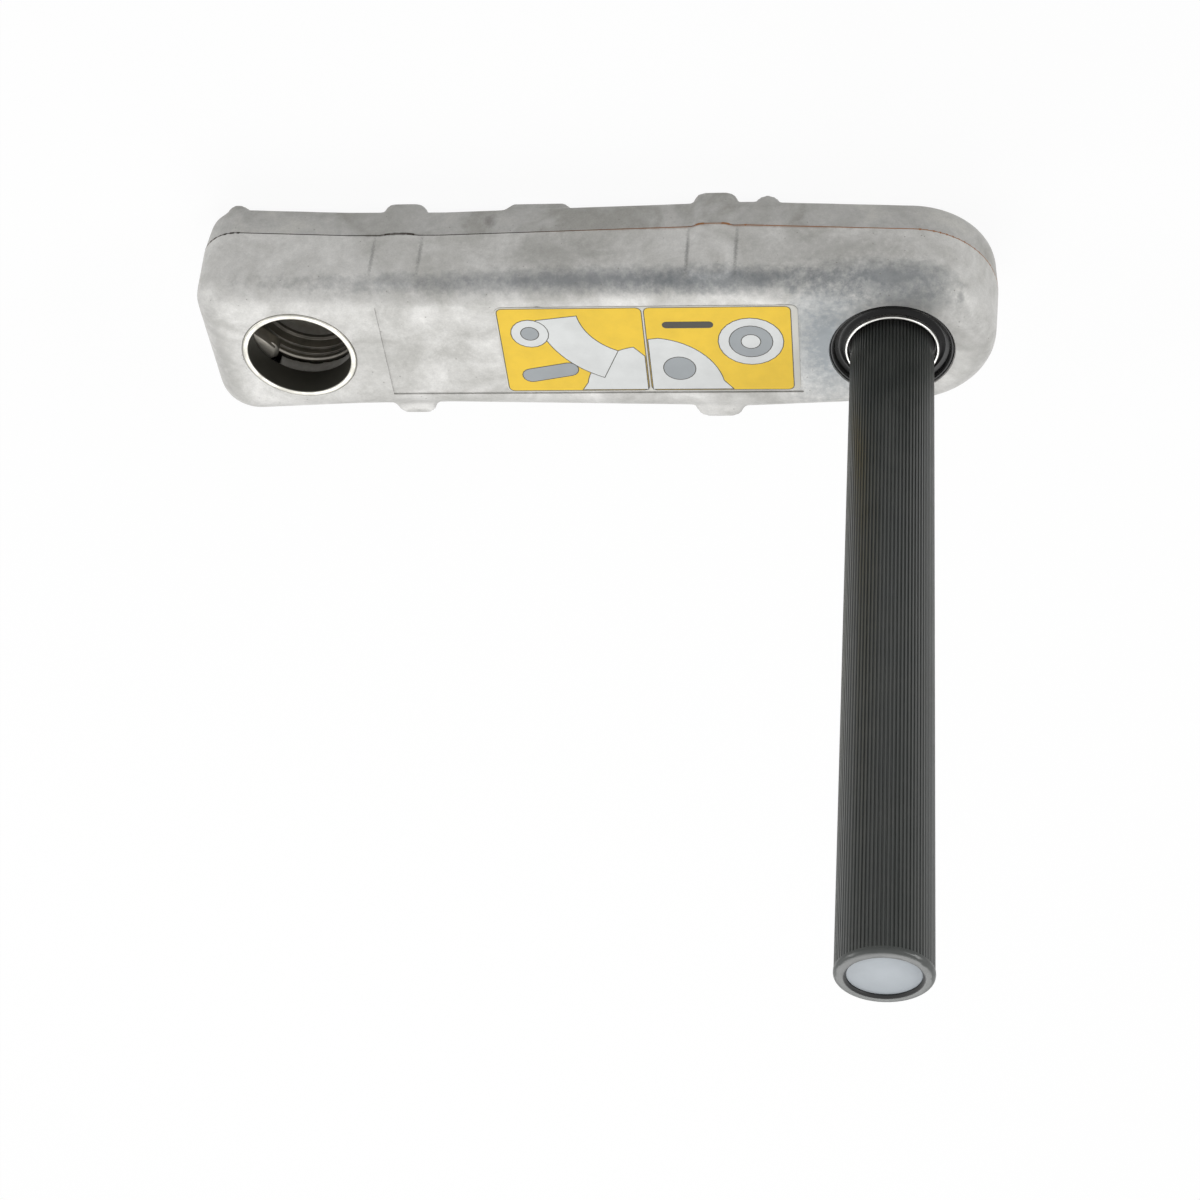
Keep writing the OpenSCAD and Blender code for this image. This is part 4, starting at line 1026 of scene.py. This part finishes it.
def rays_that_see_white(tree):
    """1 for camera, glossy and transmission rays, which see the plain white background, and 0 for the others."""
    rays = add_node(tree, "ShaderNodeLightPath")
    links = {0: rays.outputs["Is Camera Ray"], 1: rays.outputs["Is Glossy Ray"]}
    first = add_node(tree, "ShaderNodeMath", {"operation": "MAXIMUM"}, links)
    links = {0: first.outputs[0], 1: rays.outputs["Is Transmission Ray"]}
    return add_node(tree, "ShaderNodeMath", {"operation": "MAXIMUM"}, links).outputs[0]


class SetStage(bpy.types.Operator):
    """Lays the white floor, hangs the soft lamps and puts the camera where the photograph was taken from"""

    bl_idname = "crank.set_stage"
    bl_label = "Set stage"

    # The camera's place in metres and its axes, solved from the photograph's ellipses
    camera_at = (0.206956, 0.584606, 0.61085)
    camera_right = (0.99194, -0.09603, -0.08268)
    camera_up = (-0.00508, 0.62179, -0.78316)
    camera_back = (0.12662, 0.77727, 0.61629)
    focal_px = 2445.592

    def execute(self, context):
        deselect()
        bpy.ops.mesh.primitive_grid_add(x_subdivisions=4, y_subdivisions=4, size=9, location=(0.1, 0, -0.0002))
        floor = settle(bpy.context.object)
        floor.name = "pale_floor"
        # White studio paper: matt, with the soft shadow of the object on it
        material, tree, shader = new_material("white_paper_floor")
        shader.inputs["Base Color"].default_value = rgba(linear("#f6f6f6"))
        shader.inputs["Roughness"].default_value = 0.95
        # A share short of 1 keeps the object's soft shadow on the white
        seen = rays_that_see_white(tree)
        share = add_node(tree, "ShaderNodeMath", {"operation": "MULTIPLY", 1: 0.93}, {0: seen})
        white = add_node(tree, "ShaderNodeEmission", {"Color": (1, 1, 1, 1), "Strength": 1.0})
        links = {"Fac": share.outputs[0], 1: shader.outputs["BSDF"], 2: white.outputs["Emission"]}
        mix = add_node(tree, "ShaderNodeMixShader", links=links)
        tree.links.new(mix.outputs["Shader"], tree.nodes["Material Output"].inputs["Surface"])
        paint(floor, material)

        world = bpy.data.worlds.new("studio")
        context.scene.world = world
        world.use_nodes = True
        sky = world.node_tree
        soft = sky.nodes["Background"]
        soft.inputs["Color"].default_value = (1, 1, 1, 1)
        soft.inputs["Strength"].default_value = 0.3
        plain = add_node(sky, "ShaderNodeBackground", {"Color": (1, 1, 1, 1), "Strength": 1.0})
        links = {"Fac": rays_that_see_white(sky), 1: soft.outputs["Background"], 2: plain.outputs["Background"]}
        shown = add_node(sky, "ShaderNodeMixShader", links=links)
        sky.links.new(shown.outputs["Shader"], sky.nodes["World Output"].inputs["Surface"])

        # The key hangs behind and above the arm, and a small lamp on each side lightens the grip's edges
        soft_lamp("key_softbox", (-0.05, -0.75, 1.15), (0.1, 0, 0.04), 1.1, 11.5)
        soft_lamp("left_softbox", (-1.2, 0.35, 0.5), (0.1, 0, 0.1), 0.6, 6.5)
        soft_lamp("right_softbox", (1.3, 0.45, 0.5), (0.1, 0, 0.1), 0.6, 6.5)

        deselect()
        bpy.ops.object.camera_add(location=self.camera_at)
        camera = bpy.context.object
        camera.name = "photo_camera"
        turn = Matrix((self.camera_right, self.camera_up, self.camera_back)).transposed()
        camera.rotation_euler = turn.to_euler()
        camera.data.sensor_width = SENSOR_MM
        camera.data.lens = self.focal_px / PHOTO_SIZE * SENSOR_MM
        camera.data.clip_start = 0.01
        context.scene.camera = camera
        context.scene.view_settings.view_transform = "Standard"
        return {"FINISHED"}


class CrankPanel(bpy.types.Panel):
    """Lists the steps that dress the crank"""

    bl_idname = "VIEW3D_PT_crank"
    bl_label = "Starting crank"
    bl_space_type = "VIEW_3D"
    bl_region_type = "UI"
    bl_category = "Crank"

    def draw(self, context):
        for settings in (context.scene.crank_sizes, context.scene.crank_colours):
            for name in settings.bl_rna.properties.keys():
                if name not in ("rna_type", "name"):
                    self.layout.prop(settings, name)
        for step in STEPS:
            self.layout.operator(step.bl_idname)


STEPS = (CastHousing, CastCover, TurnRings, MouldRubber, MouldGrip, PrintLabel, FinishInside, SetStage)
CLASSES = (CrankSizes, CrankColours, *STEPS, CrankPanel)


def register():
    """Register the classes and hang the settings on the scene."""
    for item in CLASSES:
        bpy.utils.register_class(item)
    bpy.types.Scene.crank_sizes = bpy.props.PointerProperty(type=CrankSizes)
    bpy.types.Scene.crank_colours = bpy.props.PointerProperty(type=CrankColours)


def unregister():
    """Undo what register did."""
    del bpy.types.Scene.crank_colours
    del bpy.types.Scene.crank_sizes
    for item in reversed(CLASSES):
        bpy.utils.unregister_class(item)


def main():
    register()
    bpy.ops.crank.cast_housing()
    bpy.ops.crank.cast_cover()
    bpy.ops.crank.turn_rings()
    bpy.ops.crank.mould_rubber()
    bpy.ops.crank.mould_grip()
    bpy.ops.crank.print_label()
    bpy.ops.crank.finish_inside()
    bpy.ops.crank.set_stage()
    deselect()


if __name__ == "__main__":
    main()
